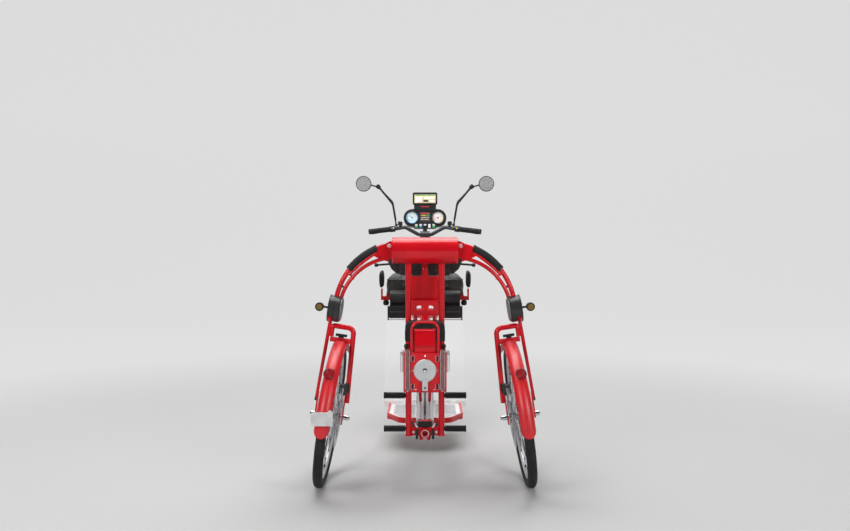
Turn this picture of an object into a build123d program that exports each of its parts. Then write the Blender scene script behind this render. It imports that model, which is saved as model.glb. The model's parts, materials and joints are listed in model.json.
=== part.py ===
from build123d import *
import os
from math import cos, radians, sin

# Velomobile on three wheels: two cambered ones behind on a mast with arched arms, and a steered one in front.
# Millimetres. X right as seen from behind, Y forward, Z up, floor at Z = 0.
# Pieces of the left side are drawn once and mirrored to the right.

# Wheels and stance
WHEELBASE = 1520.0
FLOOR_TRACK = 964.4
CAMBER = 8.45
TYRE_R = 327.5
TYRE_W = 45.0
TREAD_HALF_ANGLE = 78.0
BEAD_R = 284.2
BEAD_HALF = 13.0
RIM_DEPTH = 22.0
RIM_FLAT = 5.0
SPOKES = 28
SPOKE_R = 1.3
LACING = 52.0
FLANGE_X = (24.0, 31.0)
FLANGE_R = 30.0
HUB_R = 17.0
HUB_LEFT = -42.0
AXLE_R = 6.0

# Gaps: turning fits, seats, and sleeves on their tubes
RUNNING_GAP = 0.1
SEAT_GAP = 0.2
CLOSE_GAP = 0.05

# Brake disc on the inboard side of each hub, with an inner and an outer circle of holes
DISC_R = 140.0
DISC_T = 4.0
DISC_X = 38.0
HOLE_COUNTS = (6, 12)
HOLE_CIRCLES_R = (78.0, 124.0)
HOLES_R = (27.0, 5.0)
HOLE_ANGLES = (0.0, 15.0)
CALIPER_GAP = 5.3

# Fenders: an arched strip turned about the axle, from one angle to another
FENDER_GAP = 30.5
FENDER_W = 64.0
FENDER_DROP = 20.0
FENDER_WALL = 3.0
REAR_FENDER_ARC = (52.0, 184.0)
FRONT_FENDER_ARC = (62.0, 196.0)

# Number plate on the left rear fender
PLATE_W = 91.0
PLATE_H = 58.0
PLATE_T = 2.5
PLATE_X = -430.0
PLATE_Z = 387.0
PLATE_STANDOFF = 16.0

# Tail lamp on each rear fender
TAIL_ANGLE = 42.0
TAIL_R = 22.5
TAIL_OUT = 22.0
TAIL_SHIFT = -9.0

# Arch between the rear wheels; points as X, Z
CROSS_R = 60.5
CROSS_HALF = 151.0
CROSS_Z = 1087.0
BAND_X = (130.0, 133.0)
BAND_DEPTH = 1.5
UPPER_ARM = ((-185.0, 1108.0), (-343.0, 1004.5), (-408.0, 868.0))
UPPER_ARM_R = 11.5
LOWER_ARM = ((-170.0, 1052.0), (-304.0, 993.0), (-386.0, 866.0))
LOWER_ARM_R = 9.0
SLEEVE_R = 15.0
SLEEVE_SPAN = (0.15, 0.56)
GUSSET = ((-151.0, 1134.0), (-221.0, 1099.0), (-212.0, 1066.0), (-190.0, 1042.0), (-151.0, 1030.0))
GUSSET_T = 32.0
ARM_LINKS = (((-352.0, 995.0), (-328.0, 953.0)), ((-395.0, 926.0), (-362.0, 917.0)))

# Drum knuckles and rear forks, in the wheel's own frame with +X inboard and Z up the wheel
DRUM_R = 60.0
DRUM_T = 55.0
DRUM_X = -51.0
DRUM_Z = 493.0
DRUM_LIP = 3.0
OUTER_LEG_LOW = (-76.4, 71.0, 7.0)
OUTER_LEG_TOP = (-62.0, 452.0, 9.0)
INNER_LOOP = ((-50.0, 366.0), (-50.0, 415.0), (50.0, 415.0), (66.0, 70.0))
INNER_LOOP_R = 12.0
INNER_LOOP_BENDS = (14.0, 28.0)
CROWN_PLATE_X = (-52.0, 58.0)
CROWN_PLATE_Z = (342.0, 364.0)
STOP_X = (-29.0, 23.0)
STOP_HALF = 10.0
STOP_H = 17.0
OUTER_DROP_X = (-73.0, -66.0)
INNER_DROP_X = (53.0, 59.0)

# Turn lamps
TURN = (-483.0, -20.0, 830.0)
TURN_R = 18.5
TURN_DEPTH = 32.0

# Mast and its foot
MAST_X = 76.0
MAST_R = 14.0
MAST_FOOT_Z = 231.0
FOOT_BAR_Y = (-15.0, 17.0)
FOOT_BAR_Z = (234.5, 266.5)
FOOT_HUB_Z = 251.5
FOOT_HUB_R = 22.0
FOOT_HUB_Y = -46.0
FOOT_TIP_Z = 212.0
HITCH_R = 11.0
HITCH_DEPTH = 24.0
BUFFER_Z = 243.0

# Rack between the mast tubes: shelf, front band with two leaf holes, and back plate on a spine
RACK_HALF = MAST_X - MAST_R - 0.3
RACK_Y = (-12.0, 65.0)
RACK_SHEET = 3.0
RACK_TOP = 967.0
RACK_BAND_Z = (788.0, 857.0)
RACK_TAB = 5.0
RACK_TAB_H = 18.0
SPINE_T = 8.0
LEAF_X = 24.0
LEAF_W = 44.0
LEAF_H = 23.0

# Battery unit on the back of the mast
CASE_HALF = 96.0
CASE_REAR = -180.0
CASE_Z = (464.0, 638.0)
FACE_HALF = 63.0
PANEL_HALF = 48.0
PANEL_TOP = 742.0
PACK_HALF = 88.0
PACK_Z = (684.0, 768.0)
HOOP_X = 59.0
HOOP_TOP = 773.0
HOOP_R = 6.0
CAP_R = 50.0
CAP_Z = 560.5
SLOT_X = 54.0
SLOT_IN = 25.0
SLOT_H = 26.0
SLOT_DEPTH = 4.0
LENS_X = 77.0
LENS_R = 10.0
LENS_Z = (470.0, 652.0)
KNOB_X = 83.0
KNOB = ((0, 0), (0, 6), (14, 6), (17, 10), (24, 11), (31, 9), (35, 4), (35, 0))

# Foot pegs on the mast tubes
PEG_R = 15.0
PEG_START = 93.0
PEG_RIBS = 11
PEG_STEP = 8.0
PEG_END = 190.0
PEG_Z = (418.5, 264.0)

# Beam, footboard, leg shield; the board's back, corner and front are distances behind the front axle
BEAM_X = 22.0
BEAM_R = 20.0
BEAM_Z = 282.0
BEAM_START = 34.0
BEAM_SHORT = 565.0
BOARD_Z = 172.0
BOARD_T = 14.0
BOARD_HALF = 198.0
BOARD_REAR_HALF = 128.0
BOARD_BEHIND = (888.0, 764.0, 484.0)
RIM_LIP = 8.0
TOE_HALF = 240.0
TOE_T = 14.0
TOE_TOP = 196.0
HANGERS_BEHIND = (780.0, 600.0)
SHIELD_T = 4.0
SHIELD_HALF = 237.0
SHIELD_LINE = ((0.0, 162.0), (0.0, 206.0), (44.0, 380.0), (186.0, 690.0))

# Seat
RAIL_Z = 850.0
RAIL_R = 10.0
RAIL_END = 470.0
PAN_Z = (862.3, 867.8)
CUSHION_HALF = 200.0
CUSHION_Y = (190.0, 530.0)
CUSHION_TOP = 968.0
BACK_W = 374.0
BACK_Z = (954.0, 1146.0)
BACK_Y = (130.0, 184.0)
BOLSTER_X = (202.6, 224.0)
BOLSTER_Y = (195.0, 345.0)
BOLSTER_Z = (898.0, 990.0)
SEAT_CROSS_Y = 250.0
LEVER_Y = 157.0
LEVER_R = 5.0
ROLL_Y = 135.0
ROLL_Z = 859.0
ROLL_R = 36.0
ROLL_X = (-166.0, -88.0)
SIDE_CASE_X = (-172.0, -88.0)
SIDE_CASE_Z = (765.0, 824.8)

# Steering, in a frame along its leaning axis: Z up the axis, +Y forward
HEAD_LEAN = 22.0
RAKE = 45.0
FORK_HALF = 64.0
FORK_LEG_R = 13.0
CROWN_Y = (-24.0, 61.0)
CROWN_Z = (378.0, 408.0)
STEERER_R = 15.0
HEAD_R = 23.0
HEAD_SPAN = (412.0, 720.0)
NECK_UP = 154.0
NECK_BLOCK = 75.0
COLUMN_R = 17.0

# Handlebar: right half as X, Y from the clamp, Z, bend radius
BAR_R = 11.0
BAR_Z = 1168.0
BAR_SIDE = ((34.0, 0.0, 1168.0, 60.0), (118.0, 0.0, 1214.0, 30.0), (166.0, -14.0, 1206.0, 40.0),
            (322.0, -80.0, 1186.0, None))
GRIP_SPAN = (0.25, 1.03)
GRIP_R = 16.5
SWITCH_SPAN = (0.09, 0.23)
SWITCH_R = 18.0
MIRROR_X = 364.0
MIRROR_Z = 1470.6
MIRROR_R = 46.0
MIRROR_FOOT = (170.0, 1218.2)
MIRROR_STALK = ((191.0, 108.6), (276.0, 19.6), (345.0, 0.6))
MIRROR_BALL = ((270.0, 26.6), (288.0, 14.6))
MIRROR_BALL_R = 9.0
POD_W = 256.0
POD_H = 106.0
POD_T = 40.0
POD_Z = 1264.0
DIAL_X = 78.0
DIAL_R = 38.0
DISPLAY_W = 148.0
DISPLAY_H = 73.0
DISPLAY_NECK_W = 132.0
DISPLAY_Z = 1384.0
SCREEN_TILT = 80.0
HEADLAMP_Y = -108.0
HEADLAMP_Z = 764.0
HEADLAMP_R = 40.0

# Places worked out from the above
SECTION_R = TYRE_W / 2
TYRE_MID_R = TYRE_R - SECTION_R
AXLE_X = FLOOR_TRACK / 2 - TYRE_MID_R * sin(radians(CAMBER))
AXLE_Z = TYRE_MID_R * cos(radians(CAMBER)) + SECTION_R
FENDER_R = TYRE_R + FENDER_GAP
REAR_REACH = FENDER_R + PLATE_STANDOFF
RY = (REAR_REACH - WHEELBASE - TYRE_R) / 2
FY = RY + WHEELBASE
LEAN = radians(HEAD_LEAN)
LEFT_WHEEL = Location((-AXLE_X, RY, AXLE_Z), (0, CAMBER, 0))
FRONT_WHEEL = Location((0, FY, TYRE_R))
STEER = Location((0, FY - RAKE * cos(LEAN), TYRE_R - RAKE * sin(LEAN)), (HEAD_LEAN, 0, 0))
BAR_UP = (BAR_Z - STEER.position.Z) / cos(LEAN)
BAR_Y = (STEER * Pos(0, 0, BAR_UP)).position.Y
RIM_LOW = BEAD_R - SEAT_GAP - RIM_DEPTH
HUB_RIGHT = DISC_X + DISC_T + 4.0
COLLAR_LEFT = HUB_LEFT - 0.4
COLLAR_RIGHT = HUB_RIGHT + 0.4
BEAM_END = WHEELBASE - BEAM_SHORT
BOARD_Y = tuple(WHEELBASE - y for y in BOARD_BEHIND)
HANGER_Y = tuple(WHEELBASE - y for y in HANGERS_BEHIND)
SHIELD_Y = BOARD_Y[2] + TOE_T + SEAT_GAP + SHIELD_T / 2


def rear(y):
    return RY + y


def rear_span(span):
    return (RY + span[0], RY + span[1])


def rod(start, end, radius, end_radius=None):
    line = Vector(*end) - Vector(*start)
    base = Plane(origin=start, z_dir=line)
    if end_radius is None:
        return Solid.make_cylinder(radius, line.length, base)
    return Solid.make_cone(radius, end_radius, line.length, base)


def block(x, y, z, edge=0.0):
    middle = Pos((x[0] + x[1]) / 2, (y[0] + y[1]) / 2, (z[0] + z[1]) / 2)
    solid = middle * Box(x[1] - x[0], y[1] - y[0], z[1] - z[0])
    return fillet(solid.edges(), edge) if edge else solid


def along(path, radius, bore=0.0):
    section = Circle(radius) - Circle(bore) if bore else Circle(radius)
    return sweep(Plane(origin=path @ 0, z_dir=path % 0) * section, path=path)


def bent(points, bends, radius):
    return along(FilletPolyline(*points, radius=bends), radius)


def lathe(points):
    return revolve(make_face(Polyline(*points, close=True)), Axis.X)


def flipped(points):
    return [(-x, r) for x, r in reversed(points)]


def round_ends(solid, radius):
    return fillet(solid.edges().filter_by(GeomType.CIRCLE), radius)


def right_of(left):
    return mirror(left, about=Plane.YZ)


def together(*shapes):
    return Compound([solid for shape in shapes for solid in shape.solids()])


def both(left):
    return together(left, right_of(left))


# Wheel pieces, axle along X at the origin

def make_tyre():
    side = SECTION_R * sin(radians(TREAD_HALF_ANGLE))
    high = TYRE_MID_R + SECTION_R * cos(radians(TREAD_HALF_ANGLE))
    tread = ThreePointArc((-side, high), (0, TYRE_R), (side, high))
    walls = Polyline((side, high), (BEAD_HALF, BEAD_R), (-BEAD_HALF, BEAD_R), (-side, high))
    return revolve(make_face(tread + walls), Axis.X)


def make_rim():
    top = BEAD_R - SEAT_GAP
    wall = top - RIM_DEPTH * 0.4
    right = [(BEAD_HALF, top), (BEAD_HALF, wall), (RIM_FLAT, RIM_LOW)]
    return lathe(right + flipped(right))


def make_disc():
    face = DISC_X + DISC_T
    disc = lathe([(DISC_X, 20), (DISC_X, DISC_R), (face, DISC_R), (face, 20)])
    for count, circle, radius, first in zip(HOLE_COUNTS, HOLE_CIRCLES_R, HOLES_R, HOLE_ANGLES):
        for k in range(count):
            hole = rod((DISC_X - 5, 0, circle), (face + 5, 0, circle), radius)
            disc -= Rot(X=first + 360 / count * k) * hole
    return disc


def make_hub():
    bore = AXLE_R + RUNNING_GAP
    low, high = FLANGE_X
    step = HUB_R + 7
    hub = lathe([
        (HUB_LEFT, bore), (HUB_LEFT, HUB_R - 3), (-high, HUB_R), (-high, FLANGE_R), (-low, FLANGE_R),
        (-low, HUB_R),
        (low, HUB_R), (low, FLANGE_R), (high, FLANGE_R), (high, step), (DISC_X + DISC_T, step),
        (HUB_RIGHT, HUB_R - 1), (HUB_RIGHT, bore),
    ])
    turn = radians(LACING)
    for k in range(SPOKES):
        side = 1 if k % 2 else -1
        lead = 1 if k % 4 < 2 else -1
        x = high - 0.6 if lead > 0 else low + 0.8
        start = (side * x, 25 * sin(lead * turn), 25 * cos(turn))
        hub += Rot(X=360 / SPOKES * k) * rod(start, (side * 2.8, 0, RIM_LOW - SEAT_GAP), SPOKE_R)
    return hub + make_disc()


def make_fender(arc):
    half = FENDER_W / 2
    edge = FENDER_R - FENDER_DROP
    outer = ThreePointArc((-half, edge), (0, FENDER_R), (half, edge))
    inner = ThreePointArc((half - FENDER_WALL, edge), (0, FENDER_R - FENDER_WALL), (FENDER_WALL - half, edge))
    outline = make_face(outer + Line(outer @ 1, inner @ 0) + inner + Line(inner @ 1, outer @ 0))
    strip = Rot(X=arc[0]) * revolve(outline, Axis.X, arc[1] - arc[0])
    tip = FENDER_R * sin(radians(arc[1]))
    below = block((-60, 60), (-FENDER_R - 20, -FENDER_R + 60), (tip - 80, tip + half))
    rounding = Pos(0, -FENDER_R, tip + half) * Rot(X=90) * Cylinder(half, 200)
    return strip - (below - rounding)


def fender_room():
    half = FENDER_W / 2 + SEAT_GAP
    crown = FENDER_R + SEAT_GAP
    arch = ThreePointArc((-half, crown - FENDER_DROP), (0, crown), (half, crown - FENDER_DROP))
    base = Polyline(arch @ 1, (half, 300), (-half, 300), arch @ 0)
    return revolve(make_face(arch + base), Axis.X)


# Left rear corner, in the wheel's frame

def inner_loop(radius):
    return bent([(x, 0, z) for x, z in INNER_LOOP], INNER_LOOP_BENDS, radius)


def make_rear_fork():
    low_x, low_z, low_r = OUTER_LEG_LOW
    top_x, top_z, top_r = OUTER_LEG_TOP
    fork = rod((low_x, 0, low_z), (top_x, 0, top_z), low_r, top_r)
    fork += inner_loop(INNER_LOOP_R)
    fork += block(CROWN_PLATE_X, (-9, 9), CROWN_PLATE_Z)
    fork += block(INNER_DROP_X, (-13, 13), (-33, 104))
    fork += block(OUTER_DROP_X, (-13, 13), (-18, low_z + 30))
    fork -= rod((-120, 0, 0), (120, 0, 0), AXLE_R + CLOSE_GAP)
    fork -= Pos(DRUM_X, 0, DRUM_Z) * Rot(Y=90) * Cylinder(DRUM_R + SEAT_GAP, DRUM_T + 40)
    return fork - fender_room()


def make_rear_axle():
    outer, outer_in = OUTER_DROP_X[0] - 0.1, OUTER_DROP_X[1] + 0.1
    inner_in, inner = INNER_DROP_X[0] - 0.1, INNER_DROP_X[1] + 0.1
    return lathe([
        (-95, 0), (-95, 5), (-92, 8), (-89, 12), (outer, 12), (outer, AXLE_R), (outer_in, AXLE_R),
        (outer_in, 10),
        (COLLAR_LEFT, 10), (COLLAR_LEFT, AXLE_R), (COLLAR_RIGHT, AXLE_R), (COLLAR_RIGHT, 10), (inner_in, 10),
        (inner_in, AXLE_R), (inner, AXLE_R), (inner, 12), (66, 12), (84, 10), (90, 6), (90, 0),
    ])


def make_drum():
    half = DRUM_T / 2
    lip = DRUM_R + DRUM_LIP
    return Pos(DRUM_X, 0, DRUM_Z) * lathe([
        (-half, 0), (-half, lip - 2), (2 - half, lip), (6 - half, lip), (6 - half, DRUM_R), (-2, DRUM_R),
        (-2, DRUM_R - 2), (3, DRUM_R - 2), (3, DRUM_R), (half - 4, DRUM_R), (half, DRUM_R - 4), (half, 24),
        (half + 5, 20), (half + 5, 0),
    ])


def make_tail_lamp():
    up = FENDER_R * sin(radians(TAIL_ANGLE))
    back = -FENDER_R * cos(radians(TAIL_ANGLE))
    cup = rod((TAIL_SHIFT, back + 40, up), (TAIL_SHIFT, back - TAIL_OUT, up), TAIL_R)
    cup = chamfer(cup.edges().group_by(Axis.Y)[0], 4)
    return cup - fender_room()


def make_caliper():
    near = DISC_X - CALIPER_GAP
    far = DISC_X + DISC_T + CALIPER_GAP
    wide = (-58, -22)
    caliper = block((far, far + 14), wide, (112, 166), 3)
    caliper += block((near - 6, far + 4), wide, (DISC_R + 6, DISC_R + 18))
    caliper += block((near - 6, near), wide, (116, DISC_R + 10))
    caliper += block((far + 9, far + 23), (-26, -6), (120, 160))
    return caliper - inner_loop(INNER_LOOP_R + CLOSE_GAP)


# Left half of the arch, in the cross plane of the rear axle

def arm_line(points):
    return ThreePointArc(*[(x, RY, z) for x, z in points])


def make_arms(drum):
    plate = extrude(Plane.XZ * make_face(Polyline(*GUSSET, close=True)), GUSSET_T / 2, both=True)
    arms = Pos(0, RY, 0) * fillet(plate.edges().filter_by(Axis.Y), 6)
    arms += along(arm_line(UPPER_ARM), UPPER_ARM_R)
    arms += along(arm_line(LOWER_ARM), LOWER_ARM_R)
    for start, end in ARM_LINKS:
        arms += rod((start[0], RY, start[1]), (end[0], RY, end[1]), 5)
    return arms - drum


def make_sleeve():
    arm = arm_line(UPPER_ARM)
    low, high = SLEEVE_SPAN
    path = ThreePointArc(arm @ low, arm @ ((low + high) / 2), arm @ high)
    return along(path, SLEEVE_R, UPPER_ARM_R + CLOSE_GAP)


def make_turn_lamp(drum):
    x, y, z = TURN[0], rear(TURN[1]), TURN[2]
    stalk = rod((-425, RY, 822), (x + 10, y + TURN_DEPTH / 2, z), 5)
    cup = rod((x, y + TURN_DEPTH, z), (x, y, z), TURN_R)
    return stalk + fillet(cup.edges().group_by(Axis.Y)[-1], 9) - drum


def make_turn_lens():
    x, y, z = TURN[0], rear(TURN[1]) - SEAT_GAP, TURN[2]
    lens = rod((x, y, z), (x, y - 8, z), TURN_R - 2)
    return fillet(lens.edges().group_by(Axis.Y)[0], 5)


def make_plate():
    back = RY - REAR_REACH
    plate = block((PLATE_X - PLATE_W / 2, PLATE_X + PLATE_W / 2), (back, back + PLATE_T),
                  (PLATE_Z - PLATE_H / 2, PLATE_Z + PLATE_H / 2))
    plate = fillet(plate.edges().filter_by(Axis.Y), 5)
    stub = block(
        (PLATE_X - 14, PLATE_X + 14), (back + PLATE_T - 0.5, back + 60), (PLATE_Z - 12, PLATE_Z + 12))
    stub -= LEFT_WHEEL * fender_room()
    return plate + stub.solids().sort_by(Axis.Y)[0]


# Mast and what it carries

def make_cross_tube():
    inner, outer = BAND_X
    low = CROSS_R - BAND_DEPTH
    right = [
        (inner, CROSS_R), (inner, low), (outer, low), (outer, CROSS_R), (CROSS_HALF - 3, CROSS_R),
        (CROSS_HALF, CROSS_R - 3), (CROSS_HALF, 0),
    ]
    return Pos(0, RY, CROSS_Z) * lathe(flipped(right) + right)


def make_mast():
    left = rod((-MAST_X, RY, MAST_FOOT_Z), (-MAST_X, RY, CROSS_Z), MAST_R)
    return both(left - Pos(0, RY, CROSS_Z) * Rot(Y=90) * Cylinder(CROSS_R + CLOSE_GAP, 400))


def make_mast_foot():
    half = MAST_X - MAST_R - SEAT_GAP
    back, front, z = rear(FOOT_HUB_Y), rear(BEAM_START - SEAT_GAP), FOOT_HUB_Z
    foot = block((-half, half), rear_span(FOOT_BAR_Y), FOOT_BAR_Z, 4)
    foot += rod((0, back, z), (0, front - 4, z), FOOT_HUB_R)
    foot += block((-30, 30), (rear(FOOT_BAR_Y[0] + 1), front), (z - 5, BEAM_Z + BEAM_R - 4), 3)
    for x in (-17, 17):
        foot += rod((x, RY, FOOT_TIP_Z), (x, RY, z - 9), 8, 11)
    foot -= rod((0, back, z), (0, back + HITCH_DEPTH, z), HITCH_R)
    groove = rod((0, back - 5, z), (0, back + 3, z), 18) - rod((0, back - 5, z), (0, back + 3, z), 15)
    return foot - groove


def make_foot_buffers():
    disc = rod((-32, RY, BUFFER_Z), (-43, RY, BUFFER_Z), 28)
    disc -= block((-60, 0), (rear(FOOT_BAR_Y[0] - SEAT_GAP), rear(60)), (FOOT_BAR_Z[0] - SEAT_GAP, 320))
    pad = block((-32, 32), (rear(-20), rear(FOOT_BAR_Y[0] + 1 - SEAT_GAP)), (274, 302), 2)
    low = CROWN_PLATE_Z[1] + SEAT_GAP
    stop = block(STOP_X, (-STOP_HALF, STOP_HALF), (low + 6, low + STOP_H), 2)
    stop += block((STOP_X[0] + 14, STOP_X[1] - 14), (-7, 7), (low, low + 10))
    return together(both(disc), pad, both(LEFT_WHEEL * stop))


def leaf():
    upper = ThreePointArc((-LEAF_W / 2, 0), (0, LEAF_H / 2), (LEAF_W / 2, 0))
    lower = ThreePointArc((LEAF_W / 2, 0), (0, -LEAF_H / 2), (-LEAF_W / 2, 0))
    return make_face(upper + lower)


def make_rack():
    wide = (-RACK_HALF, RACK_HALF)
    deep = rear_span(RACK_Y)
    band = (deep[0], deep[0] + RACK_SHEET)
    back = deep[1] - RACK_SHEET
    shelf = RACK_BAND_Z[1]
    rack = block(wide, (back, deep[1]), (shelf - RACK_SHEET, RACK_TOP))
    rack += block(wide, deep, (shelf - RACK_SHEET, shelf))
    rack += block(wide, band, RACK_BAND_Z)
    rack += block((-RACK_TAB / 2, RACK_TAB / 2), band, (RACK_BAND_Z[0] - RACK_TAB_H, RACK_BAND_Z[0] + 5))
    for x in (-RACK_HALF, RACK_HALF - RACK_SHEET):
        rack += block((x, x + RACK_SHEET), deep, RACK_BAND_Z)
    rack += block((-15, 15), (back, back + SPINE_T), (RACK_TOP - 10, CROSS_Z))
    for x in (-LEAF_X, LEAF_X):
        hole = Rot(X=90) * extrude(leaf(), 20, both=True)
        rack -= Pos(x, band[0], sum(RACK_BAND_Z) / 2) * hole
    return rack


def make_side_lenses():
    y = rear(CASE_REAR + 4)
    return both(rod((-LENS_X, y, LENS_Z[0]), (-LENS_X, y, LENS_Z[1]), LENS_R))


def make_battery_case(lenses):
    front = rear(-MAST_R - SEAT_GAP)
    low = CASE_Z[1] - 5
    box = block((-CASE_HALF, CASE_HALF), (rear(CASE_REAR + 8), front), CASE_Z)
    case = fillet(box.edges().filter_by(Axis.Z).group_by(Axis.Y)[0], 24)
    case += block((-FACE_HALF, FACE_HALF), rear_span((CASE_REAR, CASE_REAR + 30)), CASE_Z, 3)
    case += block((-60, 60), (rear(-150), front), (low, PACK_Z[0] - SEAT_GAP))
    case += block((-PANEL_HALF, PANEL_HALF), rear_span((-158, -148)), (low, PANEL_TOP), 3)
    for x in (-SLOT_X, SLOT_X):
        for z in (CASE_Z[0] + SLOT_IN, CASE_Z[1] - SLOT_IN):
            face = rear(CASE_REAR)
            case -= block((x - 4.5, x + 4.5), (face - 5, face + SLOT_DEPTH), (z - SLOT_H / 2, z + SLOT_H / 2))
    return case - lenses


def make_battery_pack():
    pack = block((-PACK_HALF, PACK_HALF), rear_span((-142, -MAST_R - SEAT_GAP)), PACK_Z)
    pack = fillet(pack.edges().filter_by(Axis.Y).group_by(Axis.Z)[-1], 18)
    knob = Pos(-KNOB_X, rear(-124), CASE_Z[1] + SEAT_GAP) * Rot(Y=-90) * lathe(KNOB)
    return together(pack, both(knob))


def make_hoop():
    y = rear(CASE_REAR + 14)
    low = CASE_Z[1] + SEAT_GAP
    left = [(-HOOP_X, y, low), (-HOOP_X, y, HOOP_TOP)]
    return bent(left + [(HOOP_X, y, HOOP_TOP), (HOOP_X, y, low)], 34, HOOP_R)


def make_battery_fittings():
    face = rear(CASE_REAR) - SEAT_GAP
    cap = rod((0, face, CAP_Z), (0, face - 7, CAP_Z), CAP_R)
    cap = chamfer(cap.edges().group_by(Axis.Y)[0], 2.5)
    lever = block((-13, 13), (face - 15, face - 6), (472, 522), 4)
    side = -CASE_HALF - SEAT_GAP
    clasp = block((side - 6, side), rear_span((-110, -92)), (542, 628), 2)
    clasp += block((side - 15, side), rear_span((-115, -87)), (620, 638), 3)
    return together(cap + lever, both(clasp))


def make_peg(z):
    profile = [(-MAST_X, 0), (-MAST_X, 10), (-PEG_START, 10)]
    x = -PEG_START
    for _ in range(PEG_RIBS):
        profile += [(x, PEG_R), (x - 5, PEG_R), (x - 5, PEG_R - 2.5), (x - PEG_STEP, PEG_R - 2.5)]
        x -= PEG_STEP
    profile += [(x, PEG_R), (-PEG_END, PEG_R), (-PEG_END, 0)]
    peg = Pos(0, RY, z) * lathe(profile)
    return peg - rod((-MAST_X, RY, z - 60), (-MAST_X, RY, z + 60), MAST_R + CLOSE_GAP)


# Beam, board, shield, neck

def beam_tubes(radius, start, end):
    return both(rod((-BEAM_X, rear(start), BEAM_Z), (-BEAM_X, rear(end), BEAM_Z), radius))


def make_neck():
    low, high = HEAD_SPAN
    joint = (STEER * Pos(0, 0, low + NECK_UP)).position
    end = BEAM_END + NECK_BLOCK
    neck = block((-50, 50), rear_span((BEAM_END + SEAT_GAP, end)), (BEAM_Z - 33, BEAM_Z + 33), 8)
    neck += rod((0, rear(end - 30), BEAM_Z), (0, joint.Y, joint.Z), 24)
    neck += STEER * rod((0, 0, low), (0, 0, high), HEAD_R)
    for z in (low, high - 12):
        neck += STEER * rod((0, 0, z), (0, 0, z + 12), HEAD_R + 3)
    return neck - STEER * rod((0, 0, low - 50), (0, 0, high + 50), STEERER_R + RUNNING_GAP)


def board_layer(grow, low, high, front):
    back, corner, _ = BOARD_Y
    half = BOARD_HALF + grow
    left = [(-half, front), (-half, corner), (-BOARD_REAR_HALF - grow / 2, back - grow)]
    layer = Pos(0, RY, low) * extrude(make_face(Polyline(*left, *flipped(left), close=True)), high - low)
    return fillet(layer.edges().filter_by(Axis.Z).group_by(Axis.Y)[0], 60)


def make_footboard():
    front = BOARD_Y[2]
    low = BOARD_Z - BOARD_T
    toe = block((-TOE_HALF, TOE_HALF), rear_span((front, front + TOE_T)), (low, TOE_TOP))
    toe = fillet(toe.edges().filter_by(Axis.Y), 6)
    return board_layer(0, low, BOARD_Z, front + 2) + toe


def make_board_rim():
    low = BOARD_Z - BOARD_T
    front = BOARD_Y[2] - SEAT_GAP
    rim = board_layer(12, low - 6, BOARD_Z + RIM_LIP, front)
    rim -= board_layer(SEAT_GAP, low - 20, BOARD_Z + 30, front + 50)
    for y in HANGER_Y:
        rim += block((-205, 205), rear_span((y - 20, y + 20)), (low - 6, low - SEAT_GAP))
    return rim


def make_board_hangers():
    hangers = []
    for y in HANGER_Y:
        hangers.append(block((-46, 46), rear_span((y - 16, y + 16)), (BOARD_Z + SEAT_GAP, BEAM_Z - 8)))
    return together(*hangers) - beam_tubes(BEAM_R + CLOSE_GAP, 100, BEAM_END + 145)


def make_shield():
    line = FilletPolyline(*[(SHIELD_Y + y, z) for y, z in SHIELD_LINE], radius=[60, 120])
    sheet = extrude(Plane.YZ * trace(line, SHIELD_T), SHIELD_HALF, both=True)
    top = SHIELD_LINE[-1][1] + 1
    outline = Pos(0, top / 2) * RectangleRounded(SHIELD_HALF * 2, top, 60)
    window = Pos(0, SHIELD_Y + 400, 0) * extrude(Plane.XZ * outline, 800)
    window += block((-SHIELD_HALF, SHIELD_HALF), (SHIELD_Y - 400, SHIELD_Y + 400), (0, top / 2))
    return Pos(0, RY, 0) * (sheet & window)


# Seat

def make_seat_frame():
    start = rear(MAST_R + SEAT_GAP)
    end = rear(RAIL_END)
    across = rear_span((SEAT_CROSS_Y - 15, SEAT_CROSS_Y + 15))
    rails = [(-MAST_X, start), (-MAST_X, end), (MAST_X, end), (MAST_X, start)]
    frame = bent([(x, y, RAIL_Z) for x, y in rails], 40, RAIL_R)
    frame += rod((-174, rear(SEAT_CROSS_Y), RAIL_Z), (174, rear(SEAT_CROSS_Y), RAIL_Z), 9)
    frame += block((-190, 190), rear_span((192, 515)), PAN_Z)
    for side in (-1, 1):
        stay, lug, wing = side * 52, side * 150, side * 193
        frame += block((lug - 12, lug + 12), across, (SIDE_CASE_Z[1] + SEAT_GAP, PAN_Z[1] - 1))
        frame += block((stay - 12, stay + 12), rear_span((285, 315)), (RAIL_Z, PAN_Z[0] + 2))
        frame += rod((stay, rear(300), RAIL_Z + 4), (side * BEAM_X, rear(470), BEAM_Z), 8)
        frame += block((wing - 22, wing + 22), across, (842, 861))
        frame += block((side * 211 - 4, side * 211 + 4), across, (842, BOLSTER_Z[0] - SEAT_GAP))
    mount = block((-15, 15), (rear(RACK_Y[1] - RACK_SHEET + SPINE_T + SEAT_GAP), rear(BACK_Y[0] - SEAT_GAP)),
                  (1030, 1096), 3)
    return together(frame - beam_tubes(BEAM_R + CLOSE_GAP, 100, 800), mount)


def make_cushion():
    return block((-CUSHION_HALF, CUSHION_HALF), rear_span(CUSHION_Y), (PAN_Z[1] + SEAT_GAP, CUSHION_TOP), 34)


def lever_rod(radius):
    return rod((-165, rear(LEVER_Y), 1021), (-228, rear(LEVER_Y), 1016), radius)


def make_seat_back():
    shape = RectangleRounded(BACK_W, BACK_Z[1] - BACK_Z[0], 92)
    pad = extrude(Plane.XZ * shape, BACK_Y[0] - BACK_Y[1])
    pad = fillet((Pos(0, rear(BACK_Y[0]), sum(BACK_Z) / 2) * pad).edges(), 16)
    return pad - both(lever_rod(LEVER_R + SEAT_GAP))


def make_bolster():
    return block((-BOLSTER_X[1], -BOLSTER_X[0]), rear_span(BOLSTER_Y), BOLSTER_Z, 10)


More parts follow.
